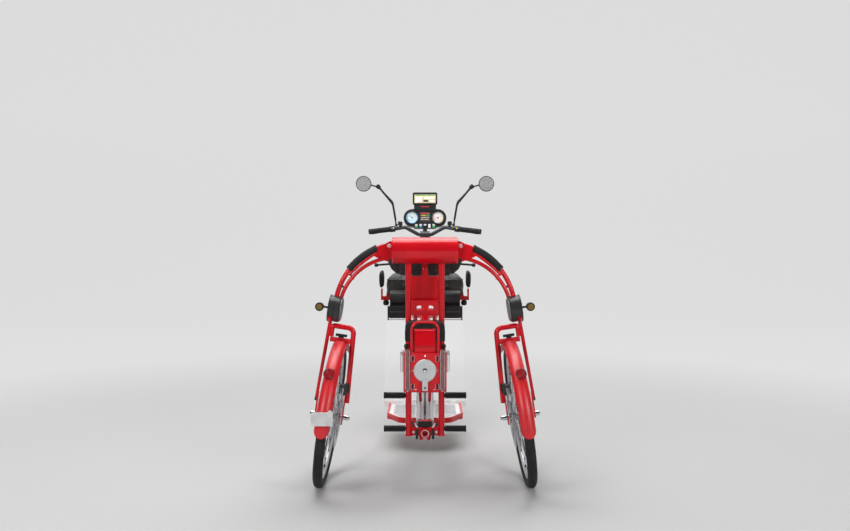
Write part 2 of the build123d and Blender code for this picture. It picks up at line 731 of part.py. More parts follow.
def make_seat_knobs():
    y = rear(SEAT_CROSS_Y)
    knob = round_ends(rod((-191, y, 815), (-191, y, 842 - SEAT_GAP), 14.5), 10)
    tip = round_ends(rod((-224, rear(LEVER_Y), 1016.3), (-242, rear(LEVER_Y), 1014.9), 9), 6)
    return together(both(knob), both(lever_rod(LEVER_R) + tip))


def make_side_case():
    y = rear(ROLL_Y)
    case = rod((ROLL_X[0], y, ROLL_Z), (ROLL_X[1], y, ROLL_Z), ROLL_R)
    case += block(SIDE_CASE_X, rear_span((98, 400)), SIDE_CASE_Z, 8)
    return case + block((-160, -94), (y - 20, y + 28), (SIDE_CASE_Z[1] - 10, ROLL_Z))


# Steered front

def make_front_fork():
    fork = rod((0, 0, CROWN_Z[0] + 10), (0, 0, HEAD_SPAN[1] + 4), STEERER_R)
    fork += block((-FORK_HALF - 16, FORK_HALF + 16), CROWN_Y, CROWN_Z, 6)
    fork += block((-12, 12), (RAKE - 15, RAKE + 15), (345, CROWN_Z[0] + 4)) - Pos(0, RAKE, 0) * fender_room()
    for x in (-FORK_HALF, FORK_HALF):
        fork += rod((x, RAKE, 24), (x, RAKE, CROWN_Z[1] - 10), FORK_LEG_R)
        fork += block((x - 5, x + 5), (RAKE - 14, RAKE + 14), (-18, 40), 2)
    return fork - rod((-120, RAKE, 0), (120, RAKE, 0), AXLE_R + CLOSE_GAP)


def make_front_axle():
    into, out = FORK_HALF - 5.1, FORK_HALF + 5.1
    collar = [(into, 10), (into, AXLE_R), (out, AXLE_R), (out, 11), (76, 11), (80, 8), (80, 0)]
    right = [(COLLAR_RIGHT, AXLE_R), (COLLAR_RIGHT, 10)] + collar
    left = flipped(collar) + [(COLLAR_LEFT, 10), (COLLAR_LEFT, AXLE_R)]
    return lathe(left + right)


def bar_points():
    side = [(x, BAR_Y + y, z) for x, y, z, _ in BAR_SIDE]
    return [(-x, y, z) for x, y, z in reversed(side)] + side


def grip_line(t):
    inner, outer = bar_points()[-2:]
    return tuple(a + (b - a) * t for a, b in zip(inner, outer))


def make_handlebar():
    bends = [bend for _, _, _, bend in BAR_SIDE if bend]
    low = HEAD_SPAN[1] + 4 + SEAT_GAP
    bar = bent(bar_points(), bends[::-1] + bends, BAR_R)
    bar += rod((-28, BAR_Y, BAR_Z), (28, BAR_Y, BAR_Z), 22)
    bar += STEER * rod((0, 0, low), (0, 0, BAR_UP), COLUMN_R)
    return bar + STEER * rod((0, 0, low), (0, 0, low + 22), HEAD_R + 3)


def make_grips():
    grip = rod(grip_line(GRIP_SPAN[0]), grip_line(GRIP_SPAN[1]), GRIP_R)
    return both(grip - rod(grip_line(0), grip_line(1.0), BAR_R + CLOSE_GAP))


def make_controls(bar):
    x, y, z = grip_line(0.16)
    tip = grip_line(0.95)
    switch = rod(grip_line(SWITCH_SPAN[0]), grip_line(SWITCH_SPAN[1]), SWITCH_R)
    lever = bent([(x, y + 14, z - 4), (x + 6, y + 52, z - 6), (tip[0], tip[1] + 56, tip[2] - 12)], 14, 5)
    tank = block((134, 160), (BAR_Y - 22, BAR_Y + 16), (1224, 1248), 4)
    neck = rod((147, BAR_Y - 8, 1204), (147, BAR_Y - 8, 1228), 7)
    return both(switch + lever + tank + neck - bar)


def make_mirror(side):
    y = BAR_Y - 16
    foot_x, foot_z = MIRROR_FOOT
    head = rod((side * MIRROR_X, y - 6, MIRROR_Z), (side * MIRROR_X, y + 10, MIRROR_Z), MIRROR_R)
    mirror_body = fillet(head.edges().group_by(Axis.Y)[-1], 7)
    stalk = [(foot_x, foot_z + 2)] + [(x, MIRROR_Z - drop) for x, drop in MIRROR_STALK]
    mirror_body += bent([(side * x, y, z) for x, z in stalk], [40, 40], 4.5)
    mirror_body += rod((side * foot_x, y, foot_z), (side * foot_x, y, foot_z + 16), 8)
    start, end = [(side * x, y, MIRROR_Z - drop) for x, drop in MIRROR_BALL]
    return mirror_body + round_ends(rod(start, end, MIRROR_BALL_R), MIRROR_BALL_R - 3)


def make_mirror_glass():
    y = BAR_Y - 22 - SEAT_GAP
    return both(rod((-MIRROR_X, y, MIRROR_Z), (-MIRROR_X, y - 1.5, MIRROR_Z), MIRROR_R - 4))


def make_pod(bar):
    face = Location((0, BAR_Y + 64, POD_Z), (SCREEN_TILT, 0, 0))
    body = extrude(SlotOverall(POD_W, POD_H) + Pos(0, -48) * RectangleRounded(136, 28, 8), POD_T)
    for x in (-DIAL_X, DIAL_X):
        body += Pos(x, 0, POD_T) * (Cylinder(DIAL_R + 3, 8) - Cylinder(DIAL_R - 2, 9))
    arm = block((-12, 12), (BAR_Y + 8, BAR_Y + 56), (BAR_Z - 6, POD_Z - 40))
    return face * body + (arm - bar)


def make_display(pod):
    face = Location((0, BAR_Y + 56, DISPLAY_Z), (SCREEN_TILT, 0, 0))
    slab = extrude(RectangleRounded(DISPLAY_W, DISPLAY_H, 10), 20)
    return face * (slab + Pos(0, -52, 10) * Box(DISPLAY_NECK_W, 44, 14)) - pod


def make_headlamp():
    y, z = FY + HEADLAMP_Y, HEADLAMP_Z
    shell = rod((0, y - 56, z), (0, y, z), HEADLAMP_R)
    shell = fillet(shell.edges().group_by(Axis.Y)[0], 18)
    foot = block((-10, 10), (y - 50, y - 28), (z - 80, z - 30))
    return shell + (foot - STEER * block((-90, 90), (-40, 80), (200, CROWN_Z[1] + SEAT_GAP)))


def make_headlamp_lens():
    y, z = FY + HEADLAMP_Y + SEAT_GAP, HEADLAMP_Z
    lens = rod((0, y, z), (0, y + 9, z), HEADLAMP_R - 3)
    return fillet(lens.edges().group_by(Axis.Y)[-1], 6)


PARTS = {}


def add_sides(name, left):
    PARTS[name + "_left"] = left
    PARTS[name + "_right"] = right_of(left)


def build_rear():
    drum = LEFT_WHEEL * make_drum()
    add_sides("rear_tyre", LEFT_WHEEL * make_tyre())
    add_sides("rear_rim", LEFT_WHEEL * make_rim())
    add_sides("rear_hub", LEFT_WHEEL * make_hub())
    add_sides("rear_fork", LEFT_WHEEL * make_rear_fork())
    add_sides("rear_fender", LEFT_WHEEL * make_fender(REAR_FENDER_ARC))
    add_sides("knuckle", drum)
    add_sides("arms", make_arms(drum))
    PARTS["rear_axles"] = both(LEFT_WHEEL * make_rear_axle())
    PARTS["tail_lamps"] = both(LEFT_WHEEL * make_tail_lamp())
    PARTS["calipers"] = both(LEFT_WHEEL * make_caliper())
    PARTS["arm_sleeves"] = both(make_sleeve())
    PARTS["turn_lamps"] = both(make_turn_lamp(drum))
    PARTS["turn_lenses"] = both(make_turn_lens())
    PARTS["number_plate"] = make_plate()


def build_middle():
    lenses = make_side_lenses()
    PARTS["cross_tube"] = make_cross_tube()
    PARTS["mast"] = make_mast()
    PARTS["mast_foot"] = make_mast_foot()
    PARTS["foot_buffers"] = make_foot_buffers()
    PARTS["bottle_rack"] = make_rack()
    PARTS["battery_case"] = make_battery_case(lenses)
    PARTS["side_lenses"] = lenses
    PARTS["battery_pack"] = make_battery_pack()
    PARTS["battery_hoop"] = make_hoop()
    PARTS["battery_fittings"] = make_battery_fittings()
    PARTS["foot_pegs"] = together(*[both(make_peg(z)) for z in PEG_Z])
    PARTS["beam"] = beam_tubes(BEAM_R, BEAM_START, BEAM_END)
    PARTS["neck"] = make_neck()
    PARTS["seat_frame"] = make_seat_frame()
    PARTS["seat_cushion"] = make_cushion()
    PARTS["seat_back"] = make_seat_back()
    PARTS["seat_bolsters"] = both(make_bolster())
    PARTS["seat_knobs"] = make_seat_knobs()
    PARTS["side_cases"] = both(make_side_case())
    PARTS["footboard"] = make_footboard()
    PARTS["footboard_rim"] = make_board_rim()
    PARTS["board_hangers"] = make_board_hangers()
    PARTS["leg_shield"] = make_shield()


def build_front():
    bar = make_handlebar()
    pod = make_pod(bar)
    PARTS["front_tyre"] = FRONT_WHEEL * make_tyre()
    PARTS["front_rim"] = FRONT_WHEEL * make_rim()
    PARTS["front_hub"] = FRONT_WHEEL * make_hub()
    PARTS["front_axle"] = FRONT_WHEEL * make_front_axle()
    PARTS["front_fender"] = FRONT_WHEEL * make_fender(FRONT_FENDER_ARC)
    PARTS["front_fork"] = STEER * make_front_fork()
    PARTS["handlebar"] = bar
    PARTS["grips"] = make_grips()
    PARTS["bar_controls"] = make_controls(bar)
    PARTS["mirrors"] = together(make_mirror(-1), make_mirror(1))
    PARTS["mirror_glass"] = make_mirror_glass()
    PARTS["instrument_pod"] = pod
    PARTS["display"] = make_display(pod)
    PARTS["headlamp"] = make_headlamp()
    PARTS["headlamp_lens"] = make_headlamp_lens()


def main():
    os.makedirs("parts", exist_ok=True)
    build_rear()
    build_middle()
    build_front()
    for name, shape in PARTS.items():
        export_step(together(shape), os.path.join("parts", name + ".step"))


main()
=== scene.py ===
"""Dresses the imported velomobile: finishes on the CAD nodes, padded seat, tyres with tread, dials and small trim."""

import json
import math

import bmesh
import bpy
from bpy.props import FloatProperty, FloatVectorProperty, IntProperty, PointerProperty
from mathutils import Matrix, Vector
from mathutils.bvhtree import BVHTree


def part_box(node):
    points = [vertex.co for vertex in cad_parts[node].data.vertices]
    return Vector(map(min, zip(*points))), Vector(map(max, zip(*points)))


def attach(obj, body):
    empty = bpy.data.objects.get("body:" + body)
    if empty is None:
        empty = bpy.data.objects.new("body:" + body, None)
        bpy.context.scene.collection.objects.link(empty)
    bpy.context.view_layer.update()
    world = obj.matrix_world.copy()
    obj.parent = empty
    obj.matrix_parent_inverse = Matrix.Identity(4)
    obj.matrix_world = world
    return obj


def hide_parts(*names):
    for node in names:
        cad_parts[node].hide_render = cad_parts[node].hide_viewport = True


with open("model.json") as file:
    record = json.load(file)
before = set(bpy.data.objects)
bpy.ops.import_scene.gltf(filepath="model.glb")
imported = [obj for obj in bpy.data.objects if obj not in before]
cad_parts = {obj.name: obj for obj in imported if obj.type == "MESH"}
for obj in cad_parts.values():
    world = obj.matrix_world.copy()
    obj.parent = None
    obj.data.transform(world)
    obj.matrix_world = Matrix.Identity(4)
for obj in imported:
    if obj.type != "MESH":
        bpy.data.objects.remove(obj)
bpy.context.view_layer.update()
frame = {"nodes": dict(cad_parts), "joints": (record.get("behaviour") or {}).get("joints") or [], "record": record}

bl_info = {
    "name": "Velomobile dressing",
    "version": (1, 0, 0),
    "blender": (4, 5, 0),
    "location": "View3D > Sidebar > Velomobile",
    "description": "Finishes, padded seat, tyres and trim around the packed frame",
    "category": "Object",
}

# Places in metres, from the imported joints
JOINTS = {joint["name"]: joint for joint in frame["joints"]}
SLOTS = {part["node"]: part["material_slot"] for part in frame["record"]["subparts"]}
REAR_Y = JOINTS["rear_left_wheel_spin"]["pos_m"][1]
STEER_AT = Vector(JOINTS["steering"]["pos_m"])
STEER_AXIS = Vector(JOINTS["steering"]["axis"])
BAR_Z = 1.168
BAR_Y = (STEER_AT + STEER_AXIS * ((BAR_Z - STEER_AT.z) / STEER_AXIS.z)).y
WHEELS = (("rear_left_wheel", "rear_tyre_left"), ("rear_right_wheel", "rear_tyre_right"),
          ("front_wheel", "front_tyre"))
REAR_SIDES = ((-1, "rear_left_wheel"), (1, "rear_right_wheel"))
BACK, FORWARD = (0, -1, 0), (0, 1, 0)

# Middle lines and faces of the CAD that trim is laid on
TYRE_MID, TYRE_SECTION = 0.305, 0.0225
ARM = ((-0.185, 1.108), (-0.343, 1.0045), (-0.408, 0.868))
GRIP_IN = Vector((0.166, BAR_Y - 0.014, 1.206))
GRIP_OUT = Vector((0.322, BAR_Y - 0.080, 1.186))
POD_TILT = Matrix.Rotation(math.radians(80), 4, "X")
POD_FACE = Matrix.Translation((0, BAR_Y + 0.064, 1.264)) @ POD_TILT
DISPLAY_FACE = Matrix.Translation((0, BAR_Y + 0.056, 1.384)) @ POD_TILT
BATTERY_Y = REAR_Y - 0.18
BOARD_TOP = 0.172
DRUM_OUT, DRUM_UP, DRUM_HALF = 0.051, 0.493, 0.0275
TAIL_R, TAIL_TURN = 0.358, math.radians(42)


def wheel_place(body):
    """The wheel's own frame: X along the axle, Z up the wheel."""
    joint = JOINTS[body + "_spin"]
    axis = Vector(joint["axis"])
    lean = math.atan2(axis.z, -axis.x)
    return Matrix.Translation(joint["pos_m"]) @ Matrix.Rotation(lean, 4, "Y")


def facing(at, towards, up=(0, 0, 1)):
    """A frame at a point whose Z looks along a direction and whose Y leans up."""
    z = Vector(towards).normalized()
    x = Vector(up).cross(z)
    x = x.normalized() if x.length > 1e-6 else Vector((1, 0, 0))
    y = z.cross(x)
    turn = Matrix((x, y, z)).transposed().to_4x4()
    return Matrix.Translation(at) @ turn


def shifted(place, x, y, z=0.0):
    return place @ Matrix.Translation((x, y, z))


def spun(place, angle, axis="X"):
    return place @ Matrix.Rotation(angle, 4, axis)


def polar(place, reach, angle):
    return shifted(place, reach * math.cos(angle), reach * math.sin(angle))


class VelomobileLooks(bpy.types.PropertyGroup):
    """Sizes and colours that a user would change."""

    paint: FloatVectorProperty(name="Paint", description="Gloss colour of frame, fenders and battery case",
                               subtype="COLOR", min=0, max=1, default=(0.62, 0.004, 0.012))
    cover: FloatVectorProperty(name="Seat cover", description="Colour of the seat pads",
                               subtype="COLOR", min=0, max=1, default=(0.022, 0.021, 0.021))
    board: FloatVectorProperty(name="Footboard", description="Colour of the footboard",
                               subtype="COLOR", min=0, max=1, default=(0.86, 0.86, 0.86))
    floor: FloatVectorProperty(name="Floor", description="Colour of floor and backdrop",
                               subtype="COLOR", min=0, max=1, default=(0.45, 0.45, 0.45))
    tread_depth: FloatProperty(name="Tread depth", description="Depth of the tyre grooves",
                               subtype="DISTANCE", unit="LENGTH", default=0.0014)
    tread_blocks: IntProperty(name="Tread blocks", description="Shoulder blocks around a tyre", default=84)
    pad_swell: FloatProperty(name="Pad swell", description="How far a seat pad may swell",
                             subtype="DISTANCE", unit="LENGTH", default=0.010)


def looks():
    return bpy.context.scene.velomobile_looks


def tone(red, green, blue):
    """A colour given in screen values from 0 to 255, as linear light."""
    parts = [value / 255 for value in (red, green, blue)]
    return tuple(v / 12.92 if v < 0.04045 else ((v + 0.055) / 1.055) ** 2.4 for v in parts)


def shade(colour, share):
    return tuple(min(1.0, channel * share) for channel in tuple(colour)[:3])


def grey(share):
    return shade((1, 1, 1), share)


class Flow:
    """A value on its way through a material; arithmetic on it adds Math nodes."""

    def __init__(self, look, socket):
        self.look, self.socket = look, socket

    def maths(self, operation, first, second):
        return self.look.add("ShaderNodeMath", {"operation": operation}, {0: first, 1: second})

    def __add__(self, other):
        return self.maths("ADD", self, other)

    def __sub__(self, other):
        return self.maths("SUBTRACT", self, other)

    def __rsub__(self, other):
        return self.maths("SUBTRACT", other, self)

    def __mul__(self, other):
        return self.maths("MULTIPLY", self, other)

    __radd__ = __add__
    __rmul__ = __mul__


class Nodes:
    """A node tree; every node in it comes from add."""

    def __init__(self, tree):
        self.tree = tree

    def feed(self, socket, value):
        if isinstance(value, Flow):
            self.tree.links.new(value.socket, socket)
        elif socket.type == "RGBA":
            socket.default_value = tuple(value)[:3] + (1.0,)
        else:
            socket.default_value = value

    def add(self, kind, settings=None, sockets=None, out=0):
        node = self.tree.nodes.new(kind)
        for label, value in (settings or {}).items():
            setattr(node, label, value)
        for label, value in (sockets or {}).items():
            self.feed(node.inputs[label], value)
        return Flow(self, node.outputs[out])

    def fade(self, value, low, high, first=0.0, last=1.0):
        return self.add("ShaderNodeMapRange", {"interpolation_type": "SMOOTHSTEP"},
                        {0: value, 1: low, 2: high, 3: first, 4: last})


class Look(Nodes):
    """One finish: a Principled shader and the nodes that feed it."""

    def __init__(self, name, steady=None):
        self.material = bpy.data.materials.new(name)
        self.material.use_nodes = True
        super().__init__(self.material.node_tree)
        self.shader = self.tree.nodes["Principled BSDF"]
        for label, value in (steady or {}).items():
            self.give(label, value)

    def give(self, label, value):
        self.feed(self.shader.inputs[label], value)

    def place(self, stretch=None):
        at = self.add("ShaderNodeTexCoord", out=3)
        if stretch:
            at = self.add("ShaderNodeVectorMath", {"operation": "MULTIPLY"}, {0: at, 1: stretch})
        return at

    def noise(self, scale, detail=3.0, stretch=None):
        return self.add("ShaderNodeTexNoise", None,
                        {"Vector": self.place(stretch), "Scale": scale, "Detail": detail, "Roughness": 0.5})

    def cells(self, scale, feature="DISTANCE_TO_EDGE"):
        return self.add("ShaderNodeTexVoronoi", {"feature": feature}, {"Vector": self.place(), "Scale": scale})

    def blend(self, factor, first, second):
        return self.add("ShaderNodeMix", {"data_type": "RGBA"}, {0: factor, 6: first, 7: second}, out=2)

    def cloud(self, first, second, scale):
        self.give("Base Color", self.blend(self.fade(self.noise(scale), 0.35, 0.65), first, second))

    def relief(self, height, depth, strength=1.0):
        bump = self.add("ShaderNodeBump", None, {"Height": height, "Strength": strength, "Distance": depth})
        self.give("Normal", bump)


# Makers of finishes: each takes a name and a colour, then numbers of its own

def gloss_paint(name, colour, haze=0.2, shine=1.42):
    look = Look(name, {"Coat Weight": 1.0, "Coat Roughness": haze, "Coat IOR": shine,
                       "Specular IOR Level": 0.03})
    look.cloud(shade(colour, 0.86), colour, 7.0)
    look.give("Roughness", 0.4 + 0.2 * look.noise(35.0))
    look.relief(look.noise(700.0, 1.0), 0.00004)
    return look.material


def brushed_metal(name, colour, rough, stretch):
    look = Look(name, {"Metallic": 1.0, "Anisotropic": 0.3})
    grain = look.noise(160.0, 4.0, stretch)
    look.give("Base Color", look.blend(look.fade(grain, 0.3, 0.7), shade(colour, 0.86), colour))
    look.give("Roughness", rough + 0.16 * grain)
    look.relief(grain, 0.00005, 0.6)
    return look.material


def bright_plate(name, colour):
    look = Look(name, {"Metallic": 1.0})
    look.cloud(shade(colour, 0.93), colour, 22.0)
    look.give("Roughness", 0.07 + 0.09 * look.noise(60.0))
    return look.material


def dark_grain(name, colour, scale, depth, rough, coat=0.0):
    look = Look(name, {"Coat Weight": coat, "Coat Roughness": 0.2, "Specular IOR Level": 0.3})
    look.cloud(shade(colour, 0.72), shade(colour, 1.2), 18.0)
    look.give("Roughness", rough + 0.2 * look.noise(50.0))
    pits = look.fade(look.cells(scale), 0.0, 0.28)
    look.relief(pits, depth, 0.7)
    return look.material


def tyre_rubber(name, colour, dusty):
    look = Look(name, {"Specular IOR Level": 0.35})
    dust = look.fade(look.noise(9.0, 6.0), 0.46, 0.72)
    look.give("Base Color", look.blend(dust, colour, dusty))
    look.give("Roughness", 0.62 + 0.22 * look.noise(80.0))
    look.relief(look.noise(420.0, 4.0), 0.00025, 0.8)
    return look.material


def seat_leather(name, colour):
    look = Look(name, {"Sheen Weight": 0.25, "Sheen Roughness": 0.4})
    crease = look.fade(look.cells(340.0), 0.0, 0.22)
    worn = look.fade(look.noise(11.0, 4.0), 0.42, 0.7)
    look.give("Base Color", look.blend(worn, colour, shade(colour, 2.0)))
    look.give("Roughness", 0.42 + 0.2 * (1 - crease) + 0.12 * look.noise(24.0))
    look.relief(crease + 0.5 * look.noise(60.0), 0.0004, 0.8)
    return look.material


def clear_sheet(name, colour, bright):
    look = Look(name, {"IOR": 1.45, "Specular IOR Level": 0.6})
    look.cloud(colour, bright, 4.0)
    look.give("Roughness", 0.04 + 0.06 * look.noise(30.0))
    look.give("Alpha", 0.035 + 0.03 * look.fade(look.noise(3.0), 0.35, 0.65))
    return look.material


def lens_plastic(name, colour, alpha=1.0, scale=240.0):
    look = Look(name, {"Coat Weight": 0.2, "Coat Roughness": 0.12, "Specular IOR Level": 0.2})
    facets = look.cells(scale, "F1")
    look.give("Base Color", look.blend(look.fade(facets, 0.1, 0.6), shade(colour, 1.2), shade(colour, 0.75)))
    look.give("Roughness", 0.12 + 0.1 * look.noise(90.0))
    look.relief(facets, 0.0004, 0.6)
    if alpha < 1:
        look.give("Alpha", alpha * (0.85 + 0.3 * look.noise(20.0)))
    return look.material


def silvered_glass(name, colour, bright):
    look = Look(name, {"Metallic": 0.4, "Coat Weight": 1.0, "Coat Roughness": 0.02})
    look.cloud(colour, bright, 12.0)
    look.give("Roughness", 0.16 + 0.06 * look.noise(40.0))
    return look.material


def smooth_plastic(name, colour, glow=0.0):
    look = Look(name, {"Coat Weight": 0.4, "Coat Roughness": 0.12, "Emission Strength": glow})
    look.cloud(shade(colour, 0.9), shade(colour, 1.06), 30.0)
    look.give("Roughness", 0.32 + 0.16 * look.noise(70.0))
    look.relief(look.noise(500.0, 2.0), 0.00004)
    if glow:
        look.give("Emission Color", look.blend(look.noise(40.0), shade(colour, 0.9), colour))
    return look.material


# Finishes by slot or by trim: maker, name, colour or the user's value that holds it, and the maker's own numbers
FINISHES = {
    "red_paint": (gloss_paint, "Red gloss paint", "paint"),
    "fender_paint": (gloss_paint, "Red fender paint", "paint", 0.4, 1.6),
    "rim_alloy": (brushed_metal, "Rim alloy", tone(208, 210, 214), 0.22, (1, 9, 9)),
    "hub_steel": (brushed_metal, "Hub steel", tone(176, 178, 182), 0.2, (9, 1, 1)),
    "alloy_tube": (brushed_metal, "Brushed tube", tone(184, 186, 189), 0.26, (12, 0.6, 12)),
    "satin_steel": (brushed_metal, "Satin steel", tone(222, 223, 226), 0.45, (3, 3, 3)),
    "drum_face": (brushed_metal, "Drum face", tone(150, 151, 153), 0.5, (2, 2, 2)),
    "bright_steel": (bright_plate, "Bright steel", tone(214, 216, 220)),
    "tyre": (tyre_rubber, "Tyre rubber", tone(31, 31, 32), tone(46, 46, 46)),
    "black_metal": (dark_grain, "Black metal", tone(44, 44, 46), 520.0, 0.00006, 0.34, 0.25),
    "black_rubber": (dark_grain, "Black rubber", tone(31, 31, 32), 700.0, 0.00018, 0.55),
    "black_plastic": (dark_grain, "Black plastic", tone(29, 29, 30), 900.0, 0.00012, 0.36, 0.1),
    "seat_cover": (seat_leather, "Cushion leather", "cover"),
    "clear_panel": (clear_sheet, "Clear sheet", tone(232, 236, 238), tone(246, 248, 250)),
    "side_lens": (lens_plastic, "Side lens", tone(150, 126, 128), 0.6, 160.0),
    "lamp_glass": (lens_plastic, "Lamp glass", tone(225, 228, 232), 0.4, 120.0),
    "red_lens": (lens_plastic, "Red lens", tone(172, 18, 28)),
    "amber_lens": (lens_plastic, "Amber lens", tone(140, 110, 50)),
    "mirror_glass": (silvered_glass, "Silvered glass", tone(192, 192, 193), tone(198, 198, 199)),
    "plate_grey": (smooth_plastic, "Plate grey", tone(204, 204, 205)),
    "board_grey": (smooth_plastic, "Board white", "board"),
    "mat_grey": (smooth_plastic, "Board mat", tone(184, 184, 186)),
    "dial_white": (smooth_plastic, "Dial white", tone(232, 228, 226), 0.1),
    "dial_sky": (smooth_plastic, "Dial sky", tone(204, 228, 236), 0.1),
    "dial_blue": (smooth_plastic, "Dial blue", tone(70, 130, 190), 0.2),
    "dial_green": (smooth_plastic, "Dial green", tone(60, 160, 80), 0.2),
    "dial_yellow": (smooth_plastic, "Dial yellow", tone(238, 190, 60), 0.2),
    "dial_red": (smooth_plastic, "Dial red", tone(205, 40, 44), 0.2),
    "dial_ink": (smooth_plastic, "Dial ink", tone(60, 62, 66)),
    # pale pink of the gusset caps: a painted highlight, the light on a red-painted dome painted into the colour
    "cap_rose": (smooth_plastic, "Rose cap", tone(240, 178, 182)),
    # pale pink edge lines on the battery case: painted highlights along the lens edges and slot rims
    "edge_pale": (smooth_plastic, "Pale edge", tone(226, 208, 210)),
    "key_white": (smooth_plastic, "Key white", tone(228, 228, 228)),
    "screen": (smooth_plastic, "Screen", tone(222, 206, 150), 0.12),
}
MADE = {}


def finish(name):
    if name not in MADE:
        maker, label, colour, *numbers = FINISHES[name]
        if isinstance(colour, str):
            colour = tuple(getattr(looks(), colour))
        MADE[name] = maker(label, colour, *numbers)
    return MADE[name]


# Mesh work

def added(name, mesh):
    """A new object for the mesh, linked to the scene."""
    thing = bpy.data.objects.new(name, mesh)
    bpy.context.scene.collection.objects.link(thing)
    return thing


def rounded(half_wide, half_high, corner, steps=5):
    """Points around a rectangle with round corners."""
    points = []
    for sx, sy, start in ((1, 1, 0), (-1, 1, 1), (-1, -1, 2), (1, -1, 3)):
        for k in range(steps + 1):
            angle = math.pi / 2 * (start + k / steps)
            points.append((sx * (half_wide - corner) + corner * math.cos(angle),
                           sy * (half_high - corner) + corner * math.sin(angle)))
    return points


def arc_points(through, low, high, count, inward=lambda share: 0.0):
    """Points on the circle through three X, Z points, between two shares of it and moved towards its centre."""
    a, b, c = (Vector(p) for p in through)
    cross = 2 * (a.x * (b.y - c.y) + b.x * (c.y - a.y) + c.x * (a.y - b.y))
    sums = [p.length_squared for p in (a, b, c)]
    centre = Vector(((sums[0] * (b.y - c.y) + sums[1] * (c.y - a.y) + sums[2] * (a.y - b.y)) / cross,
                     (sums[0] * (c.x - b.x) + sums[1] * (a.x - c.x) + sums[2] * (b.x - a.x)) / cross))
    first, last = ((p - centre) for p in (a, c))
    start, turn = math.atan2(first.y, first.x), first.angle_signed(last)
    points = []
    for k in range(count):
        share = low + (high - low) * k / (count - 1)
        angle = start - turn * share
        reach = first.length - inward(share)
        points.append((centre.x + reach * math.cos(angle), centre.y + reach * math.sin(angle)))
    return points


class Shape:
    """Faces for one piece, from simple builders that take the base finish or name another."""

    def __init__(self, base=None):
        self.bm = bmesh.new()
        self.tints = [base]

    def skin(self, rings, tint=None, loop=False, caps=True):
        tint = tint or self.tints[0]
        if tint not in self.tints:
            self.tints.append(tint)
        number = self.tints.index(tint)
        rows = [[self.bm.verts.new(point) for point in ring] for ring in rings]
        pairs = list(zip(rows, rows[1:])) + ([(rows[-1], rows[0])] if loop else [])
        for low, high in pairs:
            count = len(low)
            for k in range(count):
                face = self.bm.faces.new((low[k], low[(k + 1) % count], high[(k + 1) % count], high[k]))
                face.material_index = number
        if caps and not loop:
            for ring in (rows[0][::-1], rows[-1]):
                self.bm.faces.new(ring).material_index = number
        return self

    def turned(self, place, outline, sides=32, tint=None):
        """A turned form about the local Z; the outline is height and radius."""
        rings = []
        for height, radius in outline:
            angles = [math.tau * k / sides for k in range(sides)]
            rings.append([place @ Vector((radius * math.cos(a), radius * math.sin(a), height)) for a in angles])
        return self.skin(rings, tint)

    def ring(self, place, radius, wire, sides=40, round_sides=8, tint=None, start=0.0, turn=math.tau):
        """A round wire bent into a circle about the local Z, or into part of one."""
        whole = turn > math.tau - 1e-6
        rows = []
        for k in range(sides if whole else sides + 1):
            angle = start + turn * k / sides
            row = []
            for j in range(round_sides):
                around = math.tau * j / round_sides
                reach = radius + wire * math.cos(around)
                at = (reach * math.cos(angle), reach * math.sin(angle), wire * math.sin(around))
                row.append(place @ Vector(at))
            rows.append(row)
        return self.skin(rows, tint, loop=whole)

    def pipe(self, points, wire, sides=10, tint=None, loop=False):
        points = [Vector(p) for p in points]
        count = len(points)
        rows = []
        side = None
        for k, point in enumerate(points):
            before = points[k - 1] if k or loop else point
            after = points[(k + 1) % count] if k < count - 1 or loop else point
            line = (after - before).normalized()
            if side is None:
                side = line.orthogonal().normalized()
            side = (side - line * side.dot(line)).normalized()
            up = line.cross(side)
            rows.append([point + wire * (side * math.cos(a) + up * math.sin(a))
                         for a in (math.tau * j / sides for j in range(sides))])
        return self.skin(rows, tint, loop=loop)

    def slab(self, place, wide, high, deep, corner, edge=0.0, tint=None, steps=5):
        """A rounded plate standing on the local XY plane."""
        levels = [(0.0, 0.0), (0.0, deep - edge)]
        if edge:
            levels += [(edge * (1 - math.cos(a)), deep - edge + edge * math.sin(a)) for a in (0.5, 1.0, 1.5)]
        rings = []
        for inset, height in levels:
            outline = rounded(wide / 2 - inset, high / 2 - inset, max(corner - inset, 1e-5), steps)
            rings.append([place @ Vector((x, y, height)) for x, y in outline])
        return self.skin(rings, tint)

    def plate(self, points, rear, front):
        """A flat plate across the vehicle from its X, Z outline."""
        return self.skin([[Vector((x, y, z)) for x, z in points] for y in (rear, front)])

    def bolt(self, place, radius, tall, tint=None):
        """A hexagon head with a washer and a dished top."""
        self.turned(place, ((-0.0005, radius * 1.45), (tall * 0.22, radius * 1.45), (tall * 0.26, radius * 1.36)),
                    20, tint)
        return self.turned(place, ((0.0, radius), (tall * 0.82, radius), (tall, radius * 0.84),
                                   (tall, radius * 0.5), (tall * 0.7, radius * 0.42)), 6, tint)

    def button(self, place, radius, tall, tint=None):
        """A domed round head with a socket."""
        return self.turned(place, ((-0.0005, radius), (tall * 0.4, radius), (tall * 0.8, radius * 0.84),
                                   (tall, radius * 0.5), (tall * 0.55, radius * 0.4)), 18, tint)

    def mesh(self, name):
        mesh = bpy.data.meshes.new(name)
        self.bm.to_mesh(mesh)
        self.bm.free()
        return mesh

    def piece(self, name, body, slot, sharp=32):
        bmesh.ops.recalc_face_normals(self.bm, faces=self.bm.faces)
        mesh = self.mesh(name)
        for tint in self.tints:
            mesh.materials.append(finish(tint))
        mesh.shade_smooth()
        mesh.set_sharp_from_angle(angle=math.radians(sharp))
        thing = added(name, mesh)
        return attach(thing, body)


